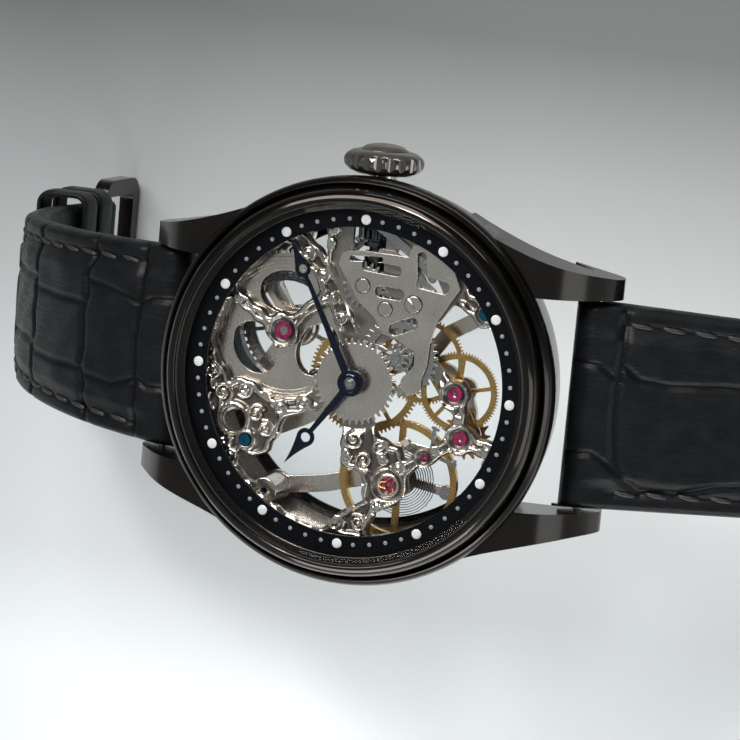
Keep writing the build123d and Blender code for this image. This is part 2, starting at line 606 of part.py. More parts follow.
def click_spring():
    """Bent wire spring that presses the click."""
    anchor = (-3.0, 13.4)
    shapes = arms([anchor, (-4.2, 13.3), (-4.9, 12.4)], 0.22) + [disc(anchor, 0.45)]
    return plate(shapes, [], 2.1, 2.35) + rod(anchor, 0.25, 2.1, 2.6)


def train_arbor(at, radius, z0, z1, pivot):
    """An arbor with thinner pivots at both ends."""
    return rod(at, radius, z0, z1) + rod(at, pivot, 3.15, z0) + rod(at, pivot, z1, 7.25)


def centre_wheel():
    """Centre wheel and pinion on the long arbor that carries the cannon pinion."""
    aim = bearing(CENTRE, THIRD)
    brass = wheel(CENTRE, CENTRE_TEETH, CENTRE_MODULE, aim, 4.35, 4.6, 0.85, 1.2, 0.7, 5)
    leaves = pinion(CENTRE, CENTRE_LEAVES, BARREL_MODULE, bearing(CENTRE, BARREL), 5.7, 6.55)
    steel = leaves + rod(CENTRE, 0.7, 4.3, 5.8) + rod(CENTRE, 0.40, 3.15, 9.85)
    return Compound(children=[brass, steel])


def third_wheel():
    """Third wheel riveted on its pinion."""
    brass = wheel(THIRD, THIRD_TEETH, THIRD_MODULE, bearing(THIRD, FOURTH), 5.0, 5.2, 0.62, 0.75, 0.38, 5)
    leaves = pinion(THIRD, THIRD_LEAVES, CENTRE_MODULE, bearing(THIRD, CENTRE), 4.1, 4.85)
    steel = leaves + rod(THIRD, 0.38, 4.8, 5.3) + train_arbor(THIRD, 0.25, 3.9, 6.6, 0.13)
    return Compound(children=[brass, steel])


def fourth_wheel():
    """Fourth wheel riveted on its pinion."""
    aim = bearing(FOURTH, ESCAPE)
    brass = wheel(FOURTH, FOURTH_TEETH, FOURTH_MODULE, aim, 5.65, 5.85, 0.72, 0.7, 0.32, 5, turn=-4)
    leaves = pinion(FOURTH, FOURTH_LEAVES, THIRD_MODULE, bearing(FOURTH, THIRD), 4.8, 5.42)
    steel = leaves + rod(FOURTH, 0.32, 5.4, 5.95) + train_arbor(FOURTH, 0.22, 3.9, 6.6, 0.13)
    return Compound(children=[brass, steel])


def escape_wheel():
    """Club-tooth escape wheel and its pinion."""
    points = []
    tip_r, root_r = 2.6, 2.0
    for i in range(15):
        a = 24 * i
        points += [polar(root_r, a), polar(tip_r - 0.12, a + 8.5), polar(tip_r, a + 11.5),
                   polar(tip_r - 0.05, a + 13.5), polar(root_r + 0.25, a + 14.0), polar(root_r, a + 16.0)]
    outline = make_face(Polyline(points, close=True)) - Circle(1.65)
    rays = [Rot(0, 0, 90 * i) * Pos(0.87, 0) * Rectangle(1.74, 0.3) for i in range(4)]
    outline = outline + ([Circle(0.55)] + rays) - Circle(0.24)
    brass = Pos(*ESCAPE, 4.6) * extrude(outline, 0.2)
    leaves = pinion(ESCAPE, ESCAPE_LEAVES, FOURTH_MODULE, bearing(ESCAPE, FOURTH), 5.4, 6.15)
    steel = leaves + train_arbor(ESCAPE, 0.24, 3.9, 6.6, 0.11)
    return Compound(children=[brass, steel])


def pallet_fork():
    """Lever with a notch at the balance end, two arms and two jewelled pallets."""
    toward = bearing(PALLET, BALANCE)
    reach = distance(PALLET, BALANCE) - 1.2
    away = bearing(PALLET, ESCAPE)
    ends = [polar(2.75, away + s * 52, PALLET) for s in (1, -1)]
    shapes = [disc(PALLET, 0.55), bar(PALLET, polar(reach - 0.3, toward, PALLET), 0.42)]
    shapes += [bar(PALLET, e, 0.42) for e in ends]
    shapes += [bar(polar(reach - 0.3, toward, PALLET), polar(reach - 0.02, toward + s * 6.5, PALLET), 0.34)
               for s in (1, -1)]
    lever = plate(shapes, [disc(PALLET, 0.17), disc(BALANCE, 1.18)], 4.55, 4.8)
    stones = []
    for s, e in zip((1, -1), ends):
        heading = bearing(e, ESCAPE) - s * 14
        stones.append(Pos(e[0], e[1], 4.675) * Rot(0, 0, heading) * Pos(0.08, 0, 0) * Box(0.9, 0.26, 0.3))
    lever = lever - stones
    steel = rod(PALLET, 0.17, 4.4, 6.6) + rod(PALLET, 0.11, 4.05, 4.4) + rod(PALLET, 0.11, 6.6, 7.25)
    return Compound(children=[lever, steel] + stones)


def balance_wheel():
    """Balance with a plain rim, two arms, staff, roller and impulse jewel."""
    rim = washer(BALANCE, 6.45, 5.75, 3.2, 3.95)
    spoke = Pos(BALANCE[0], BALANCE[1], 3.5) * Box(11.9, 0.75, 0.3)
    hub = rod(BALANCE, 0.8, 3.3, 3.75)
    brass = rim + spoke + hub - rod(BALANCE, 0.3, 2, 8)
    staff = rod(BALANCE, 0.3, 2.7, 5.3) + rod(BALANCE, 0.2, 2.35, 7.05)
    toward = bearing(BALANCE, PALLET)
    roller = washer(BALANCE, 1.35, 0.3, 4.95, 5.15)
    pin = rod(polar(0.93, toward, BALANCE), 0.15, 4.5, 4.95)
    return Compound(children=[brass, staff, roller + pin])


def hairspring():
    """Flat spiral spring above the balance, pinned in the stud."""
    coil = Pos(*BALANCE) * spiral(0.62, 3.9, 12.25, 0.07, 2.82, 3.0, bearing(BALANCE, STUD) - 90, 24)
    return coil


def hairspring_stud():
    """Stud block in the balance cock that holds the outer end of the hairspring."""
    return rod(STUD, 0.31, 2.0, 2.62) + rod(STUD, 0.62, 2.62, 3.1)


def cannon_pinion():
    """Cannon pinion, a friction fit on the centre arbor."""
    leaves = pinion(CENTRE, CANNON_TEETH, MOTION_MODULE, bearing(CENTRE, MINUTE), 7.45, 7.92, bore=0.42)
    return leaves + washer(CENTRE, 0.62, 0.42, 7.92, 9.68)


def minute_wheel():
    """Minute wheel and its pinion, on a post of the main plate."""
    aim = bearing(MINUTE, CENTRE)
    rimmed = wheel(MINUTE, MINUTE_TEETH, MOTION_MODULE, aim, 7.5, 7.75, 1.0, 1.5, 0.38, 5)
    return rimmed + pinion(MINUTE, MINUTE_LEAVES, HOUR_MODULE, aim, 7.75, 8.45, bore=0.38)


def hour_wheel():
    """Solid brushed hour wheel with the pipe that carries the hour hand."""
    aim = bearing(CENTRE, MINUTE)
    outline = toothed(HOUR_TEETH, HOUR_MODULE, aim) - Circle(0.68)
    return Pos(0, 0, 8.1) * extrude(outline, 0.25) + washer(CENTRE, 1.0, 0.68, 8.35, 9.32)


def hand(angle, hub_r, bore, ring_at, ring_r, hole_r, tip_at, root_w, neck_w, z0):
    """A hand with a round hub, a tapering shaft, a ring and a leaf point."""
    shaft = make_face(Polyline([(0, root_w / 2), (ring_at, neck_w / 2), (ring_at, -neck_w / 2),
                                (0, -root_w / 2)], close=True))
    lean = math.degrees(math.acos(ring_r / (tip_at - ring_at)))
    side = polar(ring_r, lean, (ring_at, 0))
    waist = (ring_at + 0.55 * (tip_at - ring_at), 0.22 * ring_r + 0.06)
    point = make_face(Polyline([(ring_at, 0), side, waist, (tip_at, 0.04), (tip_at, -0.04),
                                (waist[0], -waist[1]), (side[0], -side[1])], close=True))
    shapes = [shaft, point, disc(CENTRE, hub_r), disc((ring_at, 0), ring_r)]
    body = plate(shapes, [disc(CENTRE, bore), disc((ring_at, 0), hole_r)], z0, z0 + HAND_THICK)
    return Rot(0, 0, 90 - angle) * body


def hour_hand():
    """Hour hand on the pipe of the hour wheel."""
    return hand(HOUR_ANGLE, 1.35, 1.0, 7.75, 0.98, 0.50, 11.35, 0.85, 0.5, 9.14)


def minute_hand():
    """Minute hand on the pipe of the cannon pinion."""
    return hand(MINUTE_ANGLE, 1.40, 0.62, 12.8, 0.86, 0.45, 15.9, 0.85, 0.42, 9.5)


# ================================================================ strap
def short_route():
    """Start, end of the straight lead and centre of the curve of the short piece: (y, z)."""
    droop = math.radians(SHORT_DROOP)
    start = (BAR_Y, BAR_Z)
    lead = (start[0] + SHORT_LEAD * math.cos(droop), start[1] - SHORT_LEAD * math.sin(droop))
    centre = (lead[0] - SHORT_R * math.sin(droop), lead[1] - SHORT_R * math.cos(droop))
    return start, lead, centre


def band(edges):
    """A closed section in the YZ plane from a list of edges, extruded across the strap."""
    face = make_face(edges)
    return Pos(-STRAP_W / 2, 0, 0) * extrude(face, STRAP_W, dir=(1, 0, 0))


def in_yz(y, z):
    """A point in the YZ plane."""
    return (0.0, y, z)


def taper(side, start_w, end_w, run):
    """A long wedge that narrows the strap along the diagonal between level and down."""
    half0, half1 = start_w / 2, end_w / 2
    outline = make_face(Polyline([(-60, half0), (0, half0), (run, half1), (160, half1), (160, -half1),
                                  (run, -half1), (0, -half0), (-60, -half0)], close=True))
    prism = Pos(0, 0, -120) * extrude(outline, 240)
    frame = Plane(origin=(0, side * BAR_Y, BAR_Z), x_dir=(0, side, -1), z_dir=(0, side, 1))
    return frame.location * prism


def strap_short():
    """Strap piece at 12 o'clock: padded, curved down, with a loop for the buckle bar."""
    start, lead, centre = short_route()
    droop = math.radians(SHORT_DROOP)
    across = (math.sin(droop), math.cos(droop))
    t0, t1 = STRAP_THICK / 2, STRAP_THIN / 2
    top = (lead[0] + t0 * across[0], lead[1] + t0 * across[1])
    low = (lead[0] - t0 * across[0], lead[1] - t0 * across[1])
    first = (start[0] + t0 * across[0], start[1] + t0 * across[1])
    last = (start[0] - t0 * across[0], start[1] - t0 * across[1])
    end_y = centre[0] + SHORT_R
    outer_end = (end_y + t1, centre[1])
    inner_end = (end_y - t1, centre[1])
    outer_mid = polar(SHORT_R + (t0 + t1) / 2, (90 - SHORT_DROOP) / 2, centre)
    inner_mid = polar(SHORT_R - (t0 + t1) / 2, (90 - SHORT_DROOP) / 2, centre)
    bottom = centre[1] - SHORT_DROP
    nose = (start[0] - t0 * math.cos(droop), start[1] + t0 * math.sin(droop))
    edges = [ThreePointArc(in_yz(*last), in_yz(*nose), in_yz(*first)),
             Line(in_yz(*first), in_yz(*top)),
             ThreePointArc(in_yz(*top), in_yz(*outer_mid), in_yz(*outer_end)),
             Line(in_yz(*outer_end), in_yz(end_y + t1, bottom)),
             Line(in_yz(end_y + t1, bottom), in_yz(end_y - t1, bottom)),
             Line(in_yz(end_y - t1, bottom), in_yz(*inner_end)),
             ThreePointArc(in_yz(*inner_end), in_yz(*inner_mid), in_yz(*low)),
             Line(in_yz(*low), in_yz(*last))]
    body = band(edges)
    loop = Pos(0, BUCKLE_Y, BUCKLE_Z) * Rot(0, 90, 0) * Cylinder(1.55, STRAP_W)
    body = (body + loop) & taper(1, STRAP_W, STRAP_END_W, 50)
    bores = [Pos(0, BAR_Y, BAR_Z) * Rot(0, 90, 0) * Cylinder(BAR_R + 0.1, 40),
             Pos(0, BUCKLE_Y, BUCKLE_Z) * Rot(0, 90, 0) * Cylinder(0.85, 40)]
    slot = Pos(0, BUCKLE_Y, BUCKLE_Z - 0.3) * Box(3.2, 6, 5.2)
    return body - bores - slot


def strap_long():
    """Strap piece at 6 o'clock: padded, curved down and under, its tail flat on the ground."""
    droop = math.radians(LONG_DROOP)
    t0, t1 = STRAP_THICK / 2, STRAP_THIN / 2
    start = (-BAR_Y, BAR_Z)
    lead = (start[0] - LONG_LEAD * math.cos(droop), start[1] - LONG_LEAD * math.sin(droop))
    across = (-math.sin(droop), math.cos(droop))
    centre = (lead[0] + LONG_R * math.sin(droop), lead[1] - LONG_R * math.cos(droop))
    side_y = centre[0] - LONG_R
    curl_r = centre[1] - STRAP_THIN / 2 - GROUND_Z
    curl = (side_y + curl_r, centre[1])
    floor_z = curl[1] - curl_r
    tail_y = curl[0] + LONG_TAIL
    t_lead = t0 - 0.35
    mid_t = (t_lead + t1) / 2
    half = math.radians(90 - (90 - LONG_DROOP) / 2 - LONG_DROOP)
    mid = (-math.cos(half), math.sin(half))
    low45 = (-math.sqrt(0.5), -math.sqrt(0.5))

    def off(point, along, amount):
        return in_yz(point[0] + along[0] * amount, point[1] + along[1] * amount)

    nose = (start[0] + t0 * math.cos(droop), start[1] + t0 * math.sin(droop))
    shoulder = (side_y, centre[1])
    toe = (curl[0], floor_z)
    tail = (tail_y, floor_z)
    level = (1.0, 0.0)
    up = (0.0, 1.0)
    edges = [ThreePointArc(off(start, across, -t0), in_yz(*nose), off(start, across, t0)),
             Line(off(start, across, t0), off(lead, across, t_lead)),
             ThreePointArc(off(lead, across, t_lead), off(centre, mid, LONG_R + mid_t),
                           off(shoulder, level, -t1)),
             ThreePointArc(off(shoulder, level, -t1), off(curl, low45, curl_r + t1), off(toe, up, -t1)),
             Line(off(toe, up, -t1), off(tail, up, -t1)),
             Line(off(tail, up, -t1), off(tail, up, t1)),
             Line(off(tail, up, t1), off(toe, up, t1)),
             ThreePointArc(off(toe, up, t1), off(curl, low45, curl_r - t1), off(shoulder, level, t1)),
             ThreePointArc(off(shoulder, level, t1), off(centre, mid, LONG_R - mid_t),
                           off(lead, across, -t_lead)),
             Line(off(lead, across, -t_lead), off(start, across, -t0))]
    body = band(edges) & taper(-1, STRAP_W, STRAP_END_W, 46)
    return body - Pos(0, -BAR_Y, BAR_Z) * Rot(0, 90, 0) * Cylinder(BAR_R + 0.1, 40)


def spring_bars():
    """Two spring bars with thin ends in the lug holes."""
    bars = []
    for y in (BAR_Y, -BAR_Y):
        body = Cylinder(BAR_R, LUG_GAP - 0.3) + Cylinder(0.40, LUG_GAP + 1.6)
        bars.append(Pos(0, y, BAR_Z) * Rot(0, 90, 0) * body)
    return Compound(children=bars)


def buckle_bar():
    """Bar that joins buckle and strap."""
    return Pos(0, BUCKLE_Y, BUCKLE_Z) * Rot(0, 90, 0) * Cylinder(BAR_R, 21.0)


def buckle_frame():
    """Pin buckle frame, hanging from its bar."""
    outer = Pos(0, -3.6) * RectangleRounded(23.0, 10.6, 2.4)
    inner = Pos(0, -3.5) * RectangleRounded(18.8, 6.9, 1.0)
    outline = outer - inner - Pos(0, 2.5) * Rectangle(18.8, 8.0)
    flat = extrude(outline, 0.95, both=True)
    flat = Pos(0, BUCKLE_Y, BUCKLE_Z) * Rot(90, 0, 0) * flat
    return flat - Pos(0, BUCKLE_Y, BUCKLE_Z) * Rot(0, 90, 0) * Cylinder(BAR_R + 0.06, 21.1)


def buckle_tongue():
    """Tongue that swings on the bar and rests on the frame."""
    eye = Pos(0, BUCKLE_Y, BUCKLE_Z) * Rot(0, 90, 0) * (Cylinder(1.35, 2.4) - Cylinder(BAR_R + 0.06, 3))
    blade = Pos(0, BUCKLE_Y + 1.5, BUCKLE_Z - 3.9) * Box(1.8, 0.8, 9.2)
    return eye + (blade - Pos(0, BUCKLE_Y, BUCKLE_Z) * Rot(0, 90, 0) * Cylinder(1.1, 3))


def keeper(z_middle, height):
    """A leather loop around the strap with room for the other piece under it."""
    outer = Box(21.2, 6.8, height)
    inner = Box(STRAP_END_W + 1.7, 5.4, height + 1)
    return Pos(0, BUCKLE_Y + 1.1, z_middle) * (outer - inner)


def fixed_keeper():
    """Keeper sewn in next to the buckle."""
    return keeper(BUCKLE_Z + 4.6, 3.6)


def sliding_keeper():
    """Keeper that slides along the strap."""
    return keeper(BUCKLE_Z + 9.3, 3.6)


# ---------------------------------------------------------------- places that follow from the sizes above
SETTING_REACH = (MINUTE_TEETH + SETTING_TEETH) * MOTION_MODULE / 2
SETTING = polar(SETTING_REACH, bearing(MINUTE, SETTING), MINUTE)
INTERMEDIATE = polar((SETTING_TEETH + INTERMEDIATE_TEETH) * MOTION_MODULE / 2, 51.0, SETTING)
ESCAPE = polar((FOURTH_TEETH + ESCAPE_LEAVES) * FOURTH_MODULE / 2, bearing(FOURTH, ESCAPE), FOURTH)
COVER_SCREW = (8.8, -5.6)
LEVER_PIVOT = (12.7, -6.4)
YOKE_PIVOT = (10.2, -7.4)
CLICK_PIVOT = (-3.7, 11.9)
BARREL_FEET = [(-4.9, 15.3), (14.2, 8.6), (14.3, -8.2)]
TRAIN_FEET = [(8.7, -13.2), (-7.0, -15.0), (-7.9, 11.7)]
COCK_FOOT = (-13.2, 9.4)
STUD = (-11.3, -9.35)
DROOP_SIN = math.sin(math.radians(SHORT_DROOP))
DROOP_COS = math.cos(math.radians(SHORT_DROOP))
BUCKLE_Y = BAR_Y + SHORT_LEAD * DROOP_COS + SHORT_R * (1 - DROOP_SIN)
BUCKLE_Z = BAR_Z - SHORT_LEAD * DROOP_SIN - SHORT_R * DROOP_COS - SHORT_DROP - 1.0
GROUND_Z = BUCKLE_Z - 8.9    # both strap pieces stand on this level

NODES = [case_middle, bezel, crystal, crystal_gaskets, back_crystal, case_back, case_back_screws,
         movement_ring, crown_tube, chapter_ring, minute_dots, main_plate, plate_jewels, shock_settings,
         barrel_bridge, train_bridge, balance_cock, pallet_cock, bridge_jewels, movement_screws,
         keyless_cover, keyless_screws, setting_lever, yoke, pivot_posts, setting_wheel,
         intermediate_wheel, winding_pinion, sliding_pinion, stem, crown, barrel, barrel_cover,
         mainspring, barrel_arbor, ratchet_wheel, crown_wheel, click, click_spring,
         centre_wheel, third_wheel, fourth_wheel, escape_wheel, pallet_fork, balance_wheel, hairspring,
         hairspring_stud, cannon_pinion, minute_wheel, hour_wheel, hour_hand, minute_hand,
         strap_short, strap_long, spring_bars, buckle_bar, buckle_frame, buckle_tongue,
         fixed_keeper, sliding_keeper]

os.makedirs("parts", exist_ok=True)
for make in NODES:
    export_step(make(), f"parts/{make.__name__}.step")
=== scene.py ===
import json
import math

import bmesh
import bpy
import numpy as np
from mathutils import Matrix, Vector

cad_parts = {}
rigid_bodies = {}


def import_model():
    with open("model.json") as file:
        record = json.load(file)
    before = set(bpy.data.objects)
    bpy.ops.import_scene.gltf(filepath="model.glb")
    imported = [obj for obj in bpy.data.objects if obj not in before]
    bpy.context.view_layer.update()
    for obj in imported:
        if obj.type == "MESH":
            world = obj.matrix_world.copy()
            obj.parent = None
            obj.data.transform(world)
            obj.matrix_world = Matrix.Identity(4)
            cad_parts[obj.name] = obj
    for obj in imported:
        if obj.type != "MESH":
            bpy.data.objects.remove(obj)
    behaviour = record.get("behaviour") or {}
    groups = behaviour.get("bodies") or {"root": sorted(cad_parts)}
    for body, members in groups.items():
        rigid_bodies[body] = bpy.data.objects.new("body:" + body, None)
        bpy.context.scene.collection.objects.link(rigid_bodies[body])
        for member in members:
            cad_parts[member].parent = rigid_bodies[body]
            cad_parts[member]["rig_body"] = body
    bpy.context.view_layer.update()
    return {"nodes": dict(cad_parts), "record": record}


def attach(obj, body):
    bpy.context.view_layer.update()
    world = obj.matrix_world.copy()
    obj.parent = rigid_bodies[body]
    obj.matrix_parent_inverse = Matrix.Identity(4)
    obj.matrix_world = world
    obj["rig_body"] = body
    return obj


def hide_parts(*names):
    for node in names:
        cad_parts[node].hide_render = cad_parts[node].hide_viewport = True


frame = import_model()
MM = 0.001
NODES = frame["nodes"]

# Sizes shared with the CAD, in millimetres.
BAR_Y, BAR_Z = 23.3, 1.4
STRAP_W, STRAP_END_W = 21.8, 18.0
HALF_THICK, HALF_THIN = 2.1, 1.2
BUCKLE_Y, BUCKLE_Z = 52.7483, -47.6792
GROUND_Z = -56.5792
FLOOR_Z = -56.88  # just under the lowest scales of the flat tail
FIRST_HOLE_Y, HOLE_PITCH, HOLE_COUNT, HOLE_R = -41.5, 5.5, 4, 0.85
KEEPER_HALF_X, KEEPER_HALF_Y, KEEPER_WALL, KEEPER_CORNER, KEEPER_H = 10.225, 3.05, 0.7, 1.4, 3.6
STITCH_INSET, STITCH_HALF, STITCH_PITCH = 1.95, 1.25, 3.3
STITCH_R, STITCH_LIFT = 0.27, 0.12
# Strap relief: depth of the furrows and of the stitch groove, half width of that groove, and the
# straight run that each piece has before its curve.
FURROW_DEPTH, GROOVE_DEPTH, GROOVE_HALF = 0.34, 0.24, 0.33
LONG_STRAIGHT, SHORT_STRAIGHT = 19.0, 2.0
TAIL_CURL_R, TAIL_TAPER, LINING_UV_SHIFT = 11.2926, 9.0, 40.0
HANDS = {"hour_hand": {"angle": 305.0, "hub": 1.35, "bore": 1.0, "ring_at": 7.75, "ring": 0.98,
                       "hole": 0.50, "tip_at": 11.35, "root": 0.85, "neck": 0.5, "z": 9.14},
         "minute_hand": {"angle": 61.0, "hub": 1.40, "bore": 0.62, "ring_at": 12.8, "ring": 0.86,
                         "hole": 0.45, "tip_at": 15.9, "root": 0.85, "neck": 0.42, "z": 9.5}}
HAND_THICK = 0.18

# The camera's axes in the row frame.
RIGHT = Vector((0.0906, -0.9460, -0.3111))
UP = Vector((0.9836, 0.1339, -0.1207))
BACK = Vector((0.1559, -0.2951, 0.9427))
EYE = Vector((0.0498, -0.0931, 0.3006))


# ------------------------------------------------------------------ materials
def material(name):
    """A new node material and its Principled shader."""
    made = bpy.data.materials.new(name)
    made.use_nodes = True
    return made, made.node_tree, made.node_tree.nodes["Principled BSDF"]


def fill(nt, node, **inputs):
    """Links or sets sockets of a node: i0 is its first one, and _ stands for a space in a name."""
    for key, value in inputs.items():
        socket = node.inputs[int(key[1:]) if key[1:].isdigit() else key.replace("_", " ")]
        if isinstance(value, bpy.types.NodeSocket):
            nt.links.new(value, socket)
        else:
            socket.default_value = value


def add(nt, kind, settings=None, **inputs):
    """A node with some of its settings and sockets filled in."""
    made = nt.nodes.new(kind)
    for key, value in (settings or {}).items():
        setattr(made, key, value)
    fill(nt, made, **inputs)
    return made


def noise(nt, scale, detail=3.0, rough=0.5, stretch=None, uv=False):
    """Noise in object space, or in the piece's own flat coordinates, optionally stretched."""
    coords = add(nt, "ShaderNodeTexCoord").outputs["UV" if uv else "Object"]
    if stretch:
        coords = add(nt, "ShaderNodeMapping", Vector=coords, Scale=stretch).outputs[0]
    made = add(nt, "ShaderNodeTexNoise", Vector=coords, Scale=scale, Detail=detail, Roughness=rough)
    return made.outputs["Fac"]


def spread(nt, fac, low, high, start=0.3, end=0.7):
    """A value mapped onto a range."""
    made = add(nt, "ShaderNodeMapRange", Value=fac, From_Min=start, From_Max=end, To_Min=low, To_Max=high)
    return made.outputs["Result"]


def blend_colour(nt, fac, a, b, way="MIX"):
    """A mix of two colours, of which the first may be a socket."""
    first = a if isinstance(a, bpy.types.NodeSocket) else (*a, 1)
    made = add(nt, "ShaderNodeMix", {"data_type": "RGBA", "blend_type": way}, Factor=fac, A=first, B=(*b, 1))
    return made.outputs["Result"]


def mottled(nt, patches, dark, light):
    """Two colours mixed by a noise."""
    return blend_colour(nt, spread(nt, patches, 0.0, 1.0), dark, light)


def bump(nt, shader, height, distance):
    """Adds a bump to a shader."""
    made = add(nt, "ShaderNodeBump", Height=height, Distance=distance, Strength=1.0)
    if shader.inputs["Normal"].is_linked:
        nt.links.new(shader.inputs["Normal"].links[0].from_socket, made.inputs["Normal"])
    nt.links.new(made.outputs["Normal"], shader.inputs["Normal"])


def metal(name, dark, light, rough, brushed=None, grain=9000.0, depth=0.000002):
    """A metal with slight colour and gloss variation, brushed along a direction if asked."""
    made, nt, shader = material(name)
    scratches = noise(nt, grain, 3.0, 0.6, stretch=brushed)
    fill(nt, shader, Metallic=1.0, Base_Color=mottled(nt, noise(nt, 260.0, 4.0), dark, light),
         Roughness=spread(nt, scratches, rough * 0.75, rough * 1.3))
    bump(nt, shader, scratches, depth)
    return made


def coated_metal(name, dark, light, rough, coat):
    """Black coated steel with a clear top gloss."""
    made, nt, shader = material(name)
    fine = noise(nt, 5200.0, 2.0)
    fill(nt, shader, Metallic=0.9, Coat_Weight=coat, Coat_Roughness=0.06,
         Base_Color=mottled(nt, noise(nt, 120.0, 5.0), dark, light),
         Roughness=spread(nt, fine, rough * 0.8, rough * 1.25))
    bump(nt, shader, fine, 0.0000006)
    return made


def glass(name, tint):
    """Thin clear crystal: what is behind shows through and the surface mirrors by Fresnel."""
    made, nt, shader = material(name)
    clear = add(nt, "ShaderNodeBsdfTransparent", Color=(*tint, 1))
    mirror = add(nt, "ShaderNodeBsdfGlossy", Color=(1, 1, 1, 1), Roughness=0.02)
    fresnel = add(nt, "ShaderNodeFresnel", IOR=1.12)
    mix = add(nt, "ShaderNodeMixShader", i0=fresnel.outputs[0], i1=clear.outputs[0], i2=mirror.outputs[0])
    nt.links.new(mix.outputs[0], nt.nodes["Material Output"].inputs["Surface"])
    nt.nodes.remove(shader)
    return made


def back_metal():
    """Case back: black coated outside, bare polished steel on the side that faces the movement."""
    made, nt, shader = material("case_back_two_tone")
    place = add(nt, "ShaderNodeSeparateXYZ", Vector=add(nt, "ShaderNodeTexCoord").outputs["Object"])
    inside = spread(nt, place.outputs["Z"], 0.0, 1.0, 0.00085, 0.00095)
    fill(nt, shader, Metallic=0.95, Roughness=spread(nt, noise(nt, 3000.0, 3.0), 0.16, 0.28),
         Base_Color=blend_colour(nt, inside, (0.028, 0.025, 0.022), (0.62, 0.62, 0.62)))
    return made


def plastic(name, dark, light, rough, grain=3000.0):
    """A dull or glossy non-metal with fine variation."""
    made, nt, shader = material(name)
    patches = noise(nt, grain, 3.0)
    fill(nt, shader, Base_Color=mottled(nt, patches, dark, light),
         Roughness=spread(nt, patches, rough * 0.85, rough * 1.2))
    bump(nt, shader, patches, 0.000001)
    return made


def ruby_material():
    """Polished synthetic ruby, with painted shade that darkens it towards its edge as the surface turns away
    from the view.
    """
    made, nt, shader = material("ruby_polished")
    patches = noise(nt, 1100.0, 2.0)
    colour = mottled(nt, patches, (0.05, 0.001, 0.018), (0.30, 0.006, 0.085))
    # Painted shade: the colour darkens where the surface turns away from the view, towards the jewel's edge.
    rim = add(nt, "ShaderNodeLayerWeight", Blend=0.35).outputs["Facing"]
    fill(nt, shader, Coat_Weight=1.0, Roughness=spread(nt, patches, 0.05, 0.1),
         Base_Color=blend_colour(nt, spread(nt, rim, 0.0, 1.0, 0.05, 0.55), colour, (0.03, 0.0005, 0.010)))
    return made


def relief_material():
    """Rhodium plate: polished on the raised scrolls, darker and duller in the recesses."""
    made, nt, shader = material("rhodium_relief")
    height = add(nt, "ShaderNodeAttribute", {"attribute_name": "height"}).outputs["Fac"]
    deco = spread(nt, height, 0.0, 1.0, 0.05, 0.55)
    brush = noise(nt, 2600.0, 3.0, 0.6, stretch=(1.0, 14.0, 1.0))
    rough = add(nt, "ShaderNodeMath", {"operation": "ADD"}, i0=spread(nt, height, 0.34, 0.12, 0.05, 0.6),
                i1=spread(nt, brush, -0.04, 0.06)).outputs[0]
    fill(nt, shader, Metallic=1.0, Roughness=rough,
         Base_Color=blend_colour(nt, deco, (0.17, 0.152, 0.135), (0.86, 0.79, 0.71)))
    bump(nt, shader, brush, 0.000003)
    return made


def leather_material(name, fine_depth=0.00003):
    """Black embossed leather: satin, with pores and fine wrinkles; painted shade darkens its colour in the
    furrows and the stitch groove.
    """
    made, nt, shader = material(name)
    painted_furrow_shade = add(nt, "ShaderNodeAttribute", {"attribute_name": "painted_furrow_shade"}).outputs["Fac"]
    base = mottled(nt, noise(nt, 0.35, 4.0, 0.6, uv=True), (0.0025, 0.0032, 0.0042), (0.0065, 0.0078, 0.0095))
    wrinkles = noise(nt, 1.0, 4.0, 0.6, stretch=(0.45, 2.6, 1.0), uv=True)
    pores = noise(nt, 5.5, 3.0, 0.6, uv=True)
    worn = add(nt, "ShaderNodeMath", {"operation": "ADD"}, i0=spread(nt, wrinkles, 0.30, 0.48),
               i1=spread(nt, pores, -0.05, 0.08)).outputs[0]
    # Painted shade: the colour goes nearly black in the furrows and the stitch groove, by the mask stored on
    # the mesh.
    fill(nt, shader, Base_Color=blend_colour(nt, painted_furrow_shade, base, (0.0012, 0.0013, 0.0016)), Roughness=worn,
         Specular_IOR_Level=0.12, Coat_Weight=0.04, Coat_Roughness=0.3)
    bump(nt, shader, wrinkles, fine_depth * 2.2)
    bump(nt, shader, pores, fine_depth)
    return made


STEEL = metal("steel_ground", (0.44, 0.43, 0.42), (0.60, 0.59, 0.58), 0.22)
BRASS = metal("brass_gilt", (0.56, 0.34, 0.11), (0.78, 0.52, 0.20), 0.24, brushed=(1.0, 9.0, 1.0))
RHODIUM = metal("rhodium_brushed", (0.70, 0.64, 0.575), (0.86, 0.79, 0.71), 0.22, brushed=(1.0, 16.0, 1.0),
                grain=2600.0, depth=0.0000008)
BLUED = metal("blued_steel", (0.015, 0.13, 0.26), (0.03, 0.24, 0.40), 0.16)
DARK_STEEL = metal("steel_dark", (0.085, 0.09, 0.105), (0.16, 0.165, 0.18), 0.2)
BLACK = coated_metal("black_coated", (0.022, 0.019, 0.017), (0.036, 0.032, 0.028), 0.2, 0.12)
GLOSS_BLACK = coated_metal("black_polished", (0.024, 0.020, 0.017), (0.036, 0.031, 0.027), 0.12, 0.15)
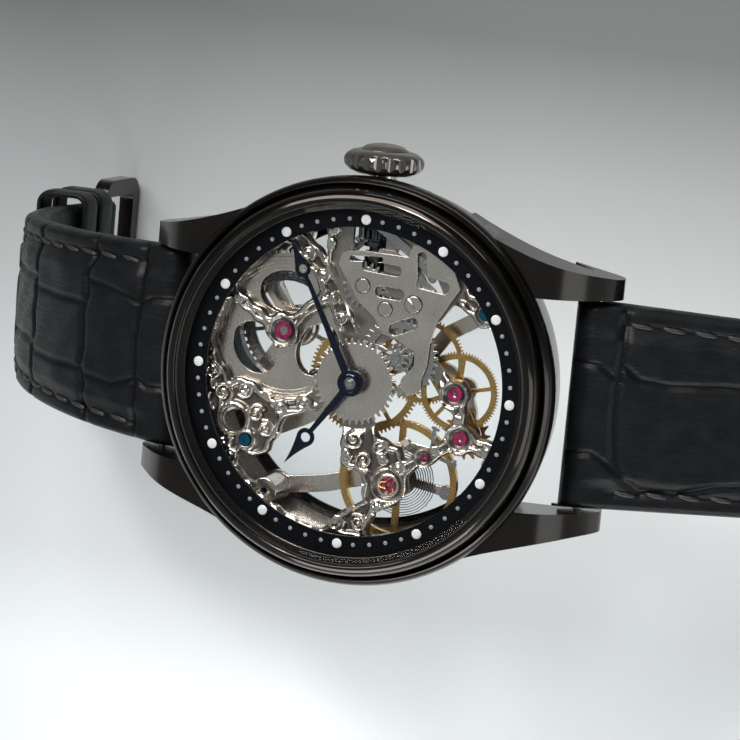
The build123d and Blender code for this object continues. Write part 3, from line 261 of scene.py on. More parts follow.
# Painted sheen: the crown has the same black coating as the case, given a much lighter colour in place of its
# highlights.
CROWN_BLACK_PAINTED_SHEEN = coated_metal("black_crown_painted_sheen", (0.16, 0.145, 0.13), (0.23, 0.21, 0.19), 0.15, 0.2)
SAPPHIRE = glass("sapphire_clear", (0.985, 0.99, 0.99))
BACK_GLASS = glass("back_glass_clear", (0.97, 0.98, 0.985))
GASKET = plastic("gasket_dark", (0.012, 0.012, 0.014), (0.03, 0.03, 0.033), 0.4)
TRACK = coated_metal("track_lacquer", (0.003, 0.004, 0.006), (0.006, 0.007, 0.010), 0.4, 0.0)
HAND_BLUE = coated_metal("hand_blueblack", (0.010, 0.016, 0.036), (0.02, 0.03, 0.055), 0.15, 0.35)
DOT = plastic("dot_silver", (0.58, 0.59, 0.60), (0.74, 0.75, 0.76), 0.3, grain=5000.0)
DOT_DULL = plastic("dot_grey", (0.20, 0.21, 0.22), (0.30, 0.31, 0.32), 0.35, grain=5000.0)
RUBY = ruby_material()
RELIEF = relief_material()
LEATHER = leather_material("leather_scaled")
LINING = leather_material("leather_lining", 0.00001)
THREAD = plastic("thread_black", (0.006, 0.006, 0.007), (0.02, 0.02, 0.022), 0.5, grain=9000.0)

FINISH = {"black_metal": BLACK, "sapphire": SAPPHIRE, "gasket_plastic": GASKET, "track_black": TRACK,
          "dot_white": DOT, "hand_black": HAND_BLUE, "rhodium": RHODIUM, "steel": STEEL,
          "brass_gold": BRASS, "ruby": RUBY, "blued_screw": BLUED, "strap_leather": LEATHER}
SPECIAL = {"bezel": GLOSS_BLACK, "crown": CROWN_BLACK_PAINTED_SHEEN, "back_crystal": BACK_GLASS,
           "case_back": back_metal()}
SPECIAL.update(dict.fromkeys(("stem", "winding_pinion", "sliding_pinion", "hairspring", "mainspring"),
                             DARK_STEEL))
# Hard parts that get a finished piece of their own, with the width of the broken edge in millimetres.
EDGED = {"keyless_cover": 0.07, "keyless_screws": 0.05, "hour_wheel": 0.03, "minute_wheel": 0.03,
         "setting_wheel": 0.03, "intermediate_wheel": 0.03, "setting_lever": 0.05, "yoke": 0.05,
         "barrel": 0.04, "barrel_cover": 0.04, "barrel_bridge": 0.09, "train_bridge": 0.09,
         "balance_cock": 0.07, "pallet_cock": 0.05, "movement_screws": 0.04, "centre_wheel": 0.02,
         "third_wheel": 0.02, "fourth_wheel": 0.02, "balance_wheel": 0.04, "winding_pinion": 0.04,
         "sliding_pinion": 0.04, "stem": 0.03, "crown": 0.06, "bezel": 0.10, "case_middle": 0.14,
         "buckle_frame": 0.20, "buckle_tongue": 0.12}
# The angle in degrees above which an edge stays crisp.
CRISP, CRISP_CASE = 35, 38


def paint(made, finish):
    """Gives a piece one material."""
    made.data.materials.clear()
    made.data.materials.append(finish)


def smooth(made, degrees):
    """Smooth shading with sharp edges kept."""
    mesh = made.data
    mesh.polygons.foreach_set("use_smooth", [True] * len(mesh.polygons))
    mesh.set_sharp_from_angle(angle=math.radians(degrees))


for part in frame["record"]["subparts"]:
    for holder in NODES[part["node"]].material_slots:
        holder.material = SPECIAL.get(part["node"], FINISH[part["material_slot"]])
SLOT_OF = {part["node"]: part["material_slot"] for part in frame["record"]["subparts"]}


# ------------------------------------------------------------------ mesh helpers
def placed(name, data):
    """A new object in the scene."""
    made = bpy.data.objects.new(name, data)
    bpy.context.collection.objects.link(made)
    return made


def piece(name, verts, faces, finish, slot, body=None, replaced=(), angle=28.0):
    """A new mesh piece in millimetres that rides on a body and stands for CAD nodes."""
    mesh = bpy.data.meshes.new(name)
    mesh.from_pydata([tuple(c * MM for c in v) for v in verts], [], [tuple(f) for f in faces])
    mesh.validate()
    made = placed(name, mesh)
    paint(made, finish)
    if body:
        smooth(made, angle)
        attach(made, body)
    if replaced:
        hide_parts(*replaced)
    return made


def finished(node, width, angle):
    """A hard part's own shape, welded, with smooth curves and its edges broken."""
    cad = NODES[node]
    mesh = cad.data.copy()
    for extra in [a.name for a in mesh.attributes if a.name == "custom_normal"]:
        mesh.attributes.remove(mesh.attributes[extra])
    mesh.transform(cad.matrix_world)
    work = bmesh.new()
    work.from_mesh(mesh)
    bmesh.ops.remove_doubles(work, verts=work.verts, dist=0.002 * MM)
    bmesh.ops.dissolve_degenerate(work, edges=work.edges, dist=0.001 * MM)
    bmesh.ops.dissolve_limit(work, angle_limit=math.radians(0.5), verts=work.verts, edges=work.edges)
    work.to_mesh(mesh)
    work.free()
    made = placed(node + "_finished", mesh)
    paint(made, SPECIAL.get(node, FINISH[SLOT_OF[node]]))
    smooth(made, angle)
    bevel(made, width, angle)
    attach(made, cad["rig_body"])
    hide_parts(node)


def bevel(made, width, degrees=30.0):
    """Breaks the edges of a piece that are sharper than an angle."""
    edge = made.modifiers.new("edge", "BEVEL")
    edge.width = width * MM
    edge.segments = 2
    edge.limit_method = "ANGLE"
    edge.angle_limit = math.radians(degrees)


def attribute(made, name, values):
    """Stores one number for each vertex, for the shader."""
    data = made.data.attributes.new(name, "FLOAT", "POINT")
    data.data.foreach_set("value", np.asarray(values, dtype=np.float32))


def cut(made, cutter):
    """Cuts a closed body out of a piece, exactly."""
    step = made.modifiers.new("cut", "BOOLEAN")
    step.operation = "DIFFERENCE"
    step.solver = "EXACT"
    step.object = cutter
    shape = bpy.data.meshes.new_from_object(made.evaluated_get(bpy.context.evaluated_depsgraph_get()))
    made.modifiers.clear()
    made.data = shape
    bpy.data.objects.remove(cutter)


def ring_faces(rings, sides, loop=False):
    """Quads between rings of vertices. With loop, the last ring joins the first."""
    faces = []
    for i in range(rings if loop else rings - 1):
        j = (i + 1) % rings
        for k in range(sides):
            m = (k + 1) % sides
            a, b, c, d = i * sides + k, j * sides + k, j * sides + m, i * sides + m
            faces.append((a, b, c, d) if loop else (a, d, c, b))
    return faces


def rod_faces(rings, sides):
    """Faces of a closed body from its first ring to its last."""
    last = (rings - 1) * sides
    return ring_faces(rings, sides) + [tuple(range(sides))[::-1], tuple(range(last, last + sides))]


def lathe(profile, segments=48, centre=(0.0, 0.0)):
    """Verts and faces of a closed body of revolution about Z from (radius, z) corners."""
    verts = []
    for i in range(segments):
        a = 2 * math.pi * i / segments
        verts += [(centre[0] + r * math.cos(a), centre[1] + r * math.sin(a), z) for r, z in profile]
    return verts, ring_faces(segments, len(profile), loop=True)


def dome(radius, height, z, centre, segments=20, rings=4):
    """Verts and faces of a closed low dome."""
    verts = [(centre[0], centre[1], z + height)]
    faces = []
    for k in range(1, rings + 1):
        t = k / rings * math.pi / 2
        for i in range(segments):
            a = 2 * math.pi * i / segments
            verts.append((centre[0] + radius * math.sin(t) * math.cos(a),
                          centre[1] + radius * math.sin(t) * math.sin(a), z + height * math.cos(t)))
    for i in range(segments):
        faces.append((0, 1 + i, 1 + (i + 1) % segments))
    for k in range(rings - 1):
        for i in range(segments):
            a, b = 1 + k * segments + i, 1 + k * segments + (i + 1) % segments
            faces.append((a, a + segments, b + segments, b))
    faces.append(tuple(1 + (rings - 1) * segments + i for i in reversed(range(segments))))
    return verts, faces


def joined(parts):
    """Several (verts, faces) bodies as one."""
    verts, faces = [], []
    for v, f in parts:
        offset = len(verts)
        verts += list(v)
        faces += [tuple(i + offset for i in face) for face in f]
    return verts, faces


# ------------------------------------------------------------------ main plate relief
STEP = 0.112
PLATE_R = 18.3
# Half width of a scroll's line and radius of the bead at its centre; a height below every surface.
WIRE_R, BEAD_R, NOTHING = 0.24, 0.26, -9
PLATE_LOW, PLATE_TOP = 6.75, 7.35
BARREL, THIRD, FOURTH = (4.18, 8.53), (2.62, -6.22), (0.0, -10.6)
ESCAPE, PALLET, BALANCE = (-4.5146, -11.5810), (-7.05, -8.0), (-10.5, -4.35)
MINUTE, SETTING, INTERMEDIATE = (3.10, -4.42), (7.9451, -2.6018), (10.0690, 0.0210)


def capsule(x, y, a, b, width):
    """Distance from points to a straight arm with round ends."""
    ax, ay, bx, by = a[0], a[1], b[0], b[1]
    dx, dy = bx - ax, by - ay
    t = np.clip(((x - ax) * dx + (y - ay) * dy) / (dx * dx + dy * dy + 1e-12), 0, 1)
    return np.hypot(x - ax - t * dx, y - ay - t * dy) - width / 2


def chain(x, y, points, width):
    """Distance to arms in a row."""
    return np.minimum.reduce([capsule(x, y, a, b, width) for a, b in zip(points, points[1:])])


def disc(x, y, at, radius):
    """Distance to a round area."""
    return np.hypot(x - at[0], y - at[1]) - radius


def polygon(x, y, points):
    """Signed distance to a closed outline, negative inside."""
    near = np.full(x.shape, 1e9)
    inside = np.zeros(x.shape, bool)
    for (ax, ay), (bx, by) in zip(points, points[1:] + points[:1]):
        near = np.minimum(near, capsule(x, y, (ax, ay), (bx, by), 0.0))
        crosses = (ay > y) != (by > y)
        at = ax + (y - ay) * (bx - ax) / (by - ay if by != ay else 1e-9)
        inside ^= crosses & (x < at)
    return np.where(inside, -near, near)


def union(*fields):
    """Distance to the nearest of several areas."""
    return np.minimum.reduce(fields)


def smooth_union(a, b, soft):
    """A union whose inner corners are filled with a small radius."""
    h = np.clip(0.5 + 0.5 * (b - a) / soft, 0, 1)
    return b + (a - b) * h - soft * h * (1 - h)


KEYLESS = [(17.0, 4.6), (12.0, 4.4), (9.2, 2.9), (6.4, 1.7), (4.4, 0.4), (3.6, -1.6), (5.0, -3.4),
           (6.2, -6.0), (7.2, -8.2), (10.6, -10.6), (12.6, -11.6), (16.2, -6.0)]
QUIET = [(17.0, 2.6), (13.6, 3.0), (12.0, 3.3), (10.0, 2.6), (8.2, 1.4), (6.6, -0.6),
         (5.0, -1.6)] + KEYLESS[5:]
COLUMN = [(3.0, 0.6), (6.4, 2.0), (9.4, 3.6), (11.6, 5.2), (14.6, 8.6)]
BARREL_ARM = [(8.2, 15.0), (6.2, 12.6), (5.0, 10.4), BARREL, (6.6, 6.0), (8.6, 4.0)]
LEFT_ARM = [(0.0, 2.4), (-2.6, 4.2), (-3.9, 7.6), (-4.4, 10.8), (-5.9, 13.2), (-8.2, 12.6), (-9.6, 13.6)]
LEFT_FIELD = [(-3.6, 12.4), (-5.2, 9.8), (-7.4, 10.8)]
LEFT_LOW = [(-5.9, 13.2), (-2.8, 14.6), (0.0, 16.6)]
BALANCE_FIELD = [(-3.6, 1.2), (-8.9, 1.0), (-9.6, -1.4), (-12.4, -1.8), (-14.0, 0.6), (-16.4, 2.4),
                 (-16.6, -2.2), (-13.6, -3.2), (-12.4, -5.4), (-10.2, -6.6), (-7.9, -6.4), (-6.4, -5.2),
                 (-5.6, -3.0), (-3.4, -1.8)]
PALLET_ARM = [(-8.4, -6.0), PALLET, (-5.8, -10.0), ESCAPE]
TRAIN_ARM = [ESCAPE, (-2.2, -11.3), FOURTH, (1.8, -8.6), (3.4, -7.2), (5.4, -6.0)]
RIGHT_ARM = [ESCAPE, (-5.0, -13.4), (-5.6, -15.8)]
SCREW_ARM = [(10.4, -9.8), (8.7, -13.2), (10.0, -13.9)]
# The arms and their widths, in the order in which they are joined; a field has an outline and no width.
ARMS = [(COLUMN, 2.3), (BARREL_ARM, 1.4), (LEFT_ARM, 2.1), (LEFT_LOW, 2.4), (LEFT_FIELD, 4.4),
        (BALANCE_FIELD, None), (PALLET_ARM, 1.5), (TRAIN_ARM, 1.5), (RIGHT_ARM, 1.8), (SCREW_ARM, 2.0)]
HUBS = [((0, 0), 3.0), (BARREL, 1.9), (BALANCE, 2.1), (ESCAPE, 1.7), (FOURTH, 1.7), (PALLET, 0.9),
        ((-5.9, 13.2), 2.0), ((-7.9, 11.7), 1.1), ((8.7, -13.2), 1.6), (MINUTE, 1.4), (THIRD, 1.2)]
HOLES = [((0, 0), 0.95), (BARREL, 1.0), (BALANCE, 1.25), (ESCAPE, 0.78), (FOURTH, 0.82), (PALLET, 0.45),
         (THIRD, 0.5), (MINUTE, 0.36), ((-5.9, 13.2), 1.3), ((-7.9, 11.7), 0.66), ((8.7, -13.2), 0.66),
         (SETTING, 0.41), (INTERMEDIATE, 0.41), ((8.8, -5.6), 0.31)]
SLOTS = [((11.2, 0.0), (15.9, 0.0), 3.6), ((16.4, -0.9), (17.3, -1.5), 1.0),
         ((13.6, -3.8), (10.6, -5.2), 1.6), ((12.2, -6.6), (9.2, -8.2), 1.3)]
# Raised scrolls: centre, outer radius, start angle in degrees, turning direction.
SCROLLS = [(-3.2, 14.6, 1.15, 200, 1), (-1.0, 16.0, 1.0, 20, -1), (-4.9, 10.7, 1.0, 300, 1),
           (-4.0, 8.1, 0.85, 80, -1), (-3.1, 5.6, 0.9, 260, 1), (-7.6, 14.2, 1.05, 120, -1),
           (-9.6, 13.1, 0.8, 10, 1), (1.3, 16.6, 0.8, 150, 1),
           (-6.1, -0.3, 1.15, 30, 1), (-8.2, -1.6, 1.05, 210, -1), (-6.5, -3.2, 1.0, 330, -1),
           (-8.4, -5.4, 0.8, 90, 1), (-12.9, -3.4, 0.95, 150, 1), (-14.9, -1.6, 1.05, 40, -1),
           (-15.3, 0.9, 0.95, 250, 1), (-5.0, -0.9, 0.6, 120, -1), (-8.1, 0.3, 0.7, 0, 1),
           (-6.0, -9.2, 0.5, 60, 1), (-2.6, -11.3, 0.5, 200, -1), (1.9, -8.5, 0.55, 20, 1),
           (8.2, 3.2, 0.7, 240, 1), (10.4, 4.6, 0.75, 60, -1), (12.6, 6.5, 0.75, 220, 1),
           (6.2, 2.2, 0.6, 40, -1), (-5.3, -14.6, 0.75, 90, 1), (9.3, -14.6, 0.7, 300, -1),
           (6.9, -13.9, 0.6, 80, 1), (7.0, 13.6, 0.55, 50, 1),
           (11.2, 3.9, 0.5, 10, 1), (13.9, 4.0, 0.55, 200, -1), (15.4, 3.7, 0.45, 90, 1),
           (-2.5, 12.2, 0.95, 140, 1), (-6.4, 9.6, 0.95, 20, -1), (-2.4, 9.4, 0.7, 310, 1),
           (-7.2, 7.6, 0.7, 220, 1), (-10.6, 11.2, 0.75, 90, -1), (-11.6, -6.2, 0.6, 0, 1),
           (-10.9, 0.4, 0.8, 180, 1), (-13.0, -0.2, 0.7, 60, -1), (-11.4, -1.4, 0.7, 300, 1),
           (-4.7, -3.4, 0.6, 200, 1), (-7.9, -3.6, 0.6, 60, -1)]


def scroll_line(cx, cy, radius, start, way, turns=1.6):
    """Points of a spiral that closes on its centre."""
    points = []
    for i in range(34):
        t = i / 33
        r = radius * (1 - 0.82 * t)
        a = math.radians(start) + way * 2 * math.pi * turns * t
        points.append((cx + r * math.cos(a), cy + r * math.sin(a)))
    return points


def near_line(x, y, points, reach):
    """Distance to a line of points, worked out only near it."""
    out = np.full(x.shape, 9.0)
    xs, ys = [p[0] for p in points], [p[1] for p in points]
    box = (x > min(xs) - reach) & (x < max(xs) + reach) & (y > min(ys) - reach) & (y < max(ys) + reach)
    out[box] = chain(x[box], y[box], points, 0.0)
    return out


def round_ridge(distance, half, height):
    """Height of a rounded ridge over its middle line."""
    return height * np.sqrt(np.clip(1 - (distance / half) ** 2, 0, 1))


def plate_fields(x, y):
    """Outline distance, top height and decoration share of the main plate."""
    radius = np.hypot(x, y)
    rim = np.maximum(radius - PLATE_R, 16.3 - radius)
    arms = [polygon(x, y, line) if width is None else chain(x, y, line, width) for line, width in ARMS]
    arms += [disc(x, y, at, r) for at, r in HUBS]
    outline = arms[0]
    for other in arms[1:] + [polygon(x, y, KEYLESS)]:
        outline = smooth_union(outline, other, 0.5)
    outline = smooth_union(outline, rim, 0.8)
    wobble = 0.16 * np.sin(2.3 * x + 1.1 * y) * np.sin(1.9 * y - 0.7 * x + 1.0)
    flat_zone = union(polygon(x, y, QUIET), disc(x, y, (0, 0), 5.0), disc(x, y, MINUTE, 4.8),
                      disc(x, y, INTERMEDIATE, 2.8), disc(x, y, SETTING, 1.7))
    free = np.clip(flat_zone / 0.8, 0, 1)
    outline = outline + wobble * free
    for at, r in HOLES:
        outline = np.maximum(outline, -disc(x, y, at, r))
    for a, b, w in SLOTS:
        outline = np.maximum(outline, -capsule(x, y, a, b, w))
    outline = np.maximum(outline, radius - PLATE_R)

    inset = np.clip(-outline, 0, 9)
    edge = np.sqrt(np.clip(1 - (1 - np.clip(inset / 0.30, 0, 1)) ** 2, 0, 1))
    height = 0.16 * edge
    # Rounded rails along both edges of the arms, with a hollow between them.
    rail = round_ridge(inset - 0.34, 0.30, 0.26)
    hollow = -0.16 * np.clip((inset - 0.62) / 0.25, 0, 1)
    shaped = height + rail + hollow
    for scroll in SCROLLS:
        line = scroll_line(*scroll)
        away = near_line(x, y, line, 0.6)
        wire = np.where(away < WIRE_R, 0.10 + round_ridge(away, WIRE_R, 0.36), NOTHING)
        centre = np.hypot(x - scroll[0], y - scroll[1])
        bead = np.where(centre < BEAD_R, 0.14 + round_ridge(centre, BEAD_R, 0.34), NOTHING)
        shaped = np.maximum(np.maximum(shaped, wire), bead)
    rng = np.random.default_rng(7)
    for _ in range(420):
        r, a = 16.15 + 0.9 * rng.random(), 2 * math.pi * rng.random()
        bx, by, br = r * math.cos(a), r * math.sin(a), 0.16 + 0.16 * rng.random()
        near = (abs(x - bx) < br) & (abs(y - by) < br)
        bead = np.hypot(x - bx, y - by)
        shaped = np.where(near & (bead < br), np.maximum(shaped, 0.05 + round_ridge(bead, br, 0.26)), shaped)
    # Polished stepped rings around the jewels.
    for at, r in ((BARREL, 1.0), (BALANCE, 1.25), (ESCAPE, 0.78), (FOURTH, 0.82), (PALLET, 0.45)):
        away = np.hypot(x - at[0], y - at[1]) - r
        ring = np.where(away < 0.62, 0.30 * np.clip(away / 0.42, 0, 1) - 0.10, NOTHING)
        shaped = np.where(away < 0.62, ring + round_ridge(away - 0.46, 0.16, 0.10), shaped)
    for at, r in (((-5.9, 13.2), 1.3), ((-7.9, 11.7), 0.66), ((8.7, -13.2), 0.66)):
        away = np.hypot(x - at[0], y - at[1]) - r
        shaped = np.where(away < 0.34, 0.05 + round_ridge(away - 0.17, 0.17, 0.16), shaped)
    rim_share = np.clip((radius - 16.9) / 0.25, 0, 1) * (1 - ((x > 15) & (abs(y) < 3.5)))
    shaped = shaped * free
    shaped = np.where(radius > 16.9, 0.65 * rim_share, shaped)
    flat = 0.02 * np.clip(inset / 0.15, 0, 1)
    return outline, np.where(free > 0, np.maximum(shaped, -0.25), flat), free


def build_plate():
    """The skeleton plate with raised scrolls, as one closed mesh."""
    n = int(2 * (PLATE_R + 0.2) / STEP) + 1
    line = (np.arange(n) - (n - 1) / 2) * STEP
    x, y = np.meshgrid(line, line, indexing="ij")
    outline, _, _ = plate_fields(x, y)
    centre = (outline[:-1, :-1] + outline[1:, :-1] + outline[:-1, 1:] + outline[1:, 1:]) / 4
    keep = centre < 0
    inside = np.zeros((n, n), int)
    for i in (0, 1):
        for j in (0, 1):
            inside[i:n - 1 + i, j:n - 1 + j] += keep
    used = inside > 0
    border = used & (inside < 4)
    gx, gy = np.gradient(outline, STEP)
    size = np.hypot(gx, gy) + 1e-9
    pull = np.clip(outline, -STEP, STEP)
    px = np.where(border, x - pull * gx / size, x)
    py = np.where(border, y - pull * gy / size, y)
    _, height, free = plate_fields(px, py)
    index = np.full((n, n), -1)
    index[used] = np.arange(used.sum())
    count = int(used.sum())
    top = np.stack([px[used], py[used], PLATE_TOP + height[used]], 1)
    low = np.stack([px[used], py[used], np.full(count, PLATE_LOW)], 1)
    i, j = np.nonzero(keep)
    a, b, c, d = index[i, j], index[i + 1, j], index[i + 1, j + 1], index[i, j + 1]
    faces = [tuple(f) for f in np.stack([a, b, c, d], 1)]
    faces += [tuple(f) for f in np.stack([d, c, b, a], 1) + count]
    sides = []
    padded = np.pad(keep, 1)
    for di, dj, p, q in ((0, -1, (0, 0), (1, 0)), (1, 0, (1, 0), (1, 1)), (0, 1, (1, 1), (0, 1)),
                         (-1, 0, (0, 1), (0, 0))):
        open_side = keep & ~padded[1 + di:n + di, 1 + dj:n + dj]
        i, j = np.nonzero(open_side)
        u, v = index[i + p[0], j + p[1]], index[i + q[0], j + q[1]]
        sides += [tuple(f) for f in np.stack([v, u, u + count, v + count], 1)]
    made = piece("plate_relief", np.concatenate([top, low]), faces + sides, RELIEF, "rhodium", "case",
                 ["main_plate"], angle=50.0)
    share = (height * free + 0.20 * (1 - free))[used]
    attribute(made, "height", np.concatenate([share, np.full(count, 0.2)]))


build_plate()


# ------------------------------------------------------------------ strap
def walk(start, heading, runs):
    """Points of a path in the (outward, up) plane: heading in degrees below level, runs of
    (length, radius), with radius 0 for a straight run and positive where it curls inward."""
    here, angle, out, done = np.array(start, float), heading, [], 0.0
    for length, radius in runs:
        count = max(2, int(length / 0.22))
        for _ in range(count):
            a = math.radians(angle)
            out.append((here[0], here[1], angle, done))
            here = here + np.array([math.cos(a), -math.sin(a)]) * (length / count)
            done += length / count
            if radius:
                angle += math.degrees(length / count / radius)
    a = math.radians(angle)
    out.append((here[0], here[1], angle, done))
    return np.array(out)


def short_path():
    """Middle line of the piece at 12 o'clock, from its bar to its buckle end."""
    return walk((BAR_Y, BAR_Z), 16.0, [(SHORT_STRAIGHT, 0), (math.radians(74) * 38.0, 38.0), (12.0, 0)])


def long_path():
    """Middle line of the piece at 6 o'clock, from its bar to the end of its flat tail."""
    return walk((BAR_Y, BAR_Z), 15.0, [(LONG_STRAIGHT, 0), (math.radians(75) * 42.0, 42.0),
                                       (math.pi / 2 * TAIL_CURL_R, TAIL_CURL_R), (23.0, 0)])


def half_width(y, z, run):
    """Half width of a strap piece at a place."""
    along = np.clip(((y - BAR_Y) - (z - BAR_Z)) / math.sqrt(2) / run, 0, 1)
    return STRAP_W / 2 + (STRAP_END_W - STRAP_W) / 2 * along


def grooves(s, a, lines):
    """How deep a place lies in the furrows, 0 to 1, from lines in strap coordinates."""
    deep = np.zeros(s.shape)
    for width, points in lines:
        near = near_line(s, a, points, 4 * width)
        deep = np.maximum(deep, np.exp(-(near / width) ** 2))
    return deep


def scale_lines(length, side):
    """Furrows between the scales: across near the lug, then rows of long scales."""
    if side < 0:
        lines = [(0.42, [(3.0, 12), (2.95, 6), (2.6, 2), (2.7, -2), (3.1, -5), (4.3, -7.2), (6.2, -8.4)]),
                 (0.30, [(-1.5, 4.6), (0.6, 4.5), (2.2, 3.4), (3.0, 3.0)]),
                 (0.30, [(-1.5, -4.9), (0.8, -4.8), (2.6, -5.8), (3.9, -7.0)]),
                 (0.36, [(3.3, 4.6), (5.0, 3.3), (8.0, 3.0), (14.0, 3.4), (21.0, 3.3)]),
                 (0.34, [(6.2, -8.2), (10.0, -8.2), (14.0, -7.0), (18.0, -6.6), (21.5, -5.2)])]
        s, seed = 21.5, 11
    else:
        lines = [(0.40, [(2.9, 12), (2.6, 5), (3.0, 0), (2.7, -5), (2.9, -12)]),
                 (0.30, [(-1.5, 5.2), (1.2, 5.0), (2.8, 4.2)]),
                 (0.30, [(-1.5, -4.4), (1.2, -4.6), (2.8, -3.6)]),
                 (0.36, [(2.8, 4.4), (6.0, 5.0), (10.5, 5.6)]),
                 (0.36, [(2.8, -4.0), (6.0, -5.2), (10.5, -4.8)])]
        s, seed = 10.5, 5
    rng = np.random.default_rng(seed)
    row = 0
    while s < length - 2:
        pitch = (11.0, 9.2, 8.4)[min(row, 2)] * (0.92 + 0.16 * rng.random())
        bow = 0.9 * (rng.random() - 0.5)
        across = [(s + bow * math.cos(a / 4.0) + 0.35 * math.sin(1.3 * a + row), a)
                  for a in range(-12, 13, 2)]
        lines.append((0.40, across))
        for k in (-1, 1):
            at = k * (2.9 + 2.6 * rng.random()) - 0.4 * row % 2
            middle = at + 0.8 * (rng.random() - 0.5)
            lines.append((0.34, [(s, at), (s + pitch * 0.5, middle), (s + pitch, at)]))
            if row > 1:
                lines.append((0.30, [(s, at + 3.1 * k), (s + pitch, at + 3.0 * k)]))
        s += pitch
        row += 1
    return lines


def flat_coordinates(made, flat):
    """Stores the place of each vertex on the flat leather, in millimetres, for the grain."""
    layer = made.data.uv_layers.new(name="strap")
    loops = np.empty(len(made.data.loops), dtype=np.int32)
    made.data.loops.foreach_get("vertex_index", loops)
    layer.data.foreach_set("uv", flat[loops].astype(np.float32).ravel())


def ahead(place, d, h):
    """A strap station straight ahead of a place on the path: distance and half thickness."""
    a = math.radians(place[2])
    return place[0] + d * math.cos(a), place[1] - d * math.sin(a), place[2], place[3] + d, h


def build_strap(name, side, path, run, end_r, body, replaced):
    """A padded strap piece: crowned scaled top, rounded edges and a flat lining."""
    back = [(-HALF_THICK * math.cos(t), HALF_THICK * math.sin(t)) for t in np.linspace(0.12, 1.5, 9)]
    front = [(end_r * math.sin(t), end_r * math.cos(t)) for t in np.linspace(0.0, 1.45, 8)]
    total = path[-1][3]
    stations = [ahead(path[0], d, h) for d, h in back]
    reach = LONG_STRAIGHT if side < 0 else SHORT_STRAIGHT
    arc = path[:, 3][np.argmax(path[:, 2] >= 89.9)]
    for y, z, angle, s in path:
        lead = HALF_THICK + (1.75 - HALF_THICK) * min(s / reach, 1) if side < 0 else HALF_THICK
        k = min(max((s - reach) / (arc - reach), 0), 1)
        h = lead + (HALF_THIN - lead) * k
        swell = min(max((s - total + 2.5) / 2.5, 0), 1)
        stations.append((y, z, angle, s, h + (end_r - h) * swell))
    stations += [ahead(path[-1], d, h) for d, h in front[1:]]
    top_n, round_n, low_n = 96, 5, 20
    lines = scale_lines(total, side)
    st = np.array(stations)
    width = half_width(st[:, 0], st[:, 1], run)
    if side < 0:
        to_tip = np.clip((total - st[:, 3]) / TAIL_TAPER, 0, 1)
        width = width * (0.30 + 0.70 * np.sqrt(np.clip(1 - (1 - to_tip) ** 2.4, 0, 1)))
    right = np.linspace(0, math.pi, round_n + 2)[1:-1]
    left = right + math.pi
    rise = np.concatenate([np.ones(top_n), np.cos(right), -np.ones(low_n), np.cos(left)])
    ring_n = len(rise)
    across = []
    for h, w in zip(st[:, 4], width):
        r = min(0.75, h * 0.85)
        edge = w - r
        across.append(np.concatenate([np.linspace(-edge, edge, top_n), edge + r * np.sin(right),
                                      np.linspace(edge, -edge, low_n), r * np.sin(left) - edge]))
    across = np.array(across)
    up = st[:, 4:5] * rise
    s_all = np.repeat(st[:, 3:4], ring_n, 1)
    w_all = np.repeat(width[:, None], ring_n, 1)
    h_all = np.repeat(st[:, 4:5], ring_n, 1)
    top_share = np.clip((up / np.maximum(h_all, 1e-6) - 0.2) / 0.8, 0, 1)
    deep = grooves(s_all, across, lines)
    body_part = np.clip((s_all - 2.2) / 1.2, 0, 1)
    pad = np.clip((s_all + 1.0) / 3.0, 0, 1) * np.clip((h_all - 1.0) / 1.0, 0, 1)
    inner = np.clip((w_all - 2.3 - np.abs(across)) / 1.5, 0, 1)
    crown = 0.10 + 0.42 * pad * (inner * inner * (3 - 2 * inner))
    crown = crown * (1 - (across / w_all) ** 2 * 0.35)
    stitch = np.exp(-((w_all - STITCH_INSET - np.abs(across)) / GROOVE_HALF) ** 2)
    stitch = stitch * body_part * (s_all < total - 4)
    swell = 0.07 * np.sin(0.9 * s_all + 1.4 * np.sin(0.5 * across)) * np.sin(0.55 * across + 0.3 * s_all)
    relief = crown - FURROW_DEPTH * deep - GROOVE_DEPTH * stitch + swell * inner - 0.16 * (1 - inner) * pad
    relief = np.where(h_all < 0.8 * (HALF_THIN if side > 0 else 1.0), relief * 0.3, relief)
    raised = up + relief * top_share
    angle = np.radians(st[:, 2:3])
    y = st[:, 0:1] + raised * np.sin(angle)
    z = st[:, 1:2] + raised * np.cos(angle)
    verts = np.stack([across.ravel(), (side * y).ravel(), z.ravel()], 1)
    faces = rod_faces(len(stations), ring_n)
    if side > 0:
        faces = [face[::-1] for face in faces]
    made = piece(name, verts, faces, LEATHER, "strap_leather", body, replaced, angle=60.0)
    made.data.materials.append(LINING)
    # Painted shade mask: how deep each top vertex lies in the furrows and the stitch groove, for darkening
    # the leather colour there.
    attribute(made, "painted_furrow_shade", np.clip((deep * 0.8 + stitch * 0.5) * top_share, 0, 1).ravel())
    shifted = across + np.where(up < 0, LINING_UV_SHIFT, 0.0)
    flat_coordinates(made, np.stack([s_all.ravel(), shifted.ravel()], 1))
    low = (up / np.maximum(h_all, 1e-6) < -0.5).ravel()
    for face in made.data.polygons:
        face.material_index = int(all(low[v] for v in face.vertices))
    return made, (st, width, raised, across[:, :top_n])


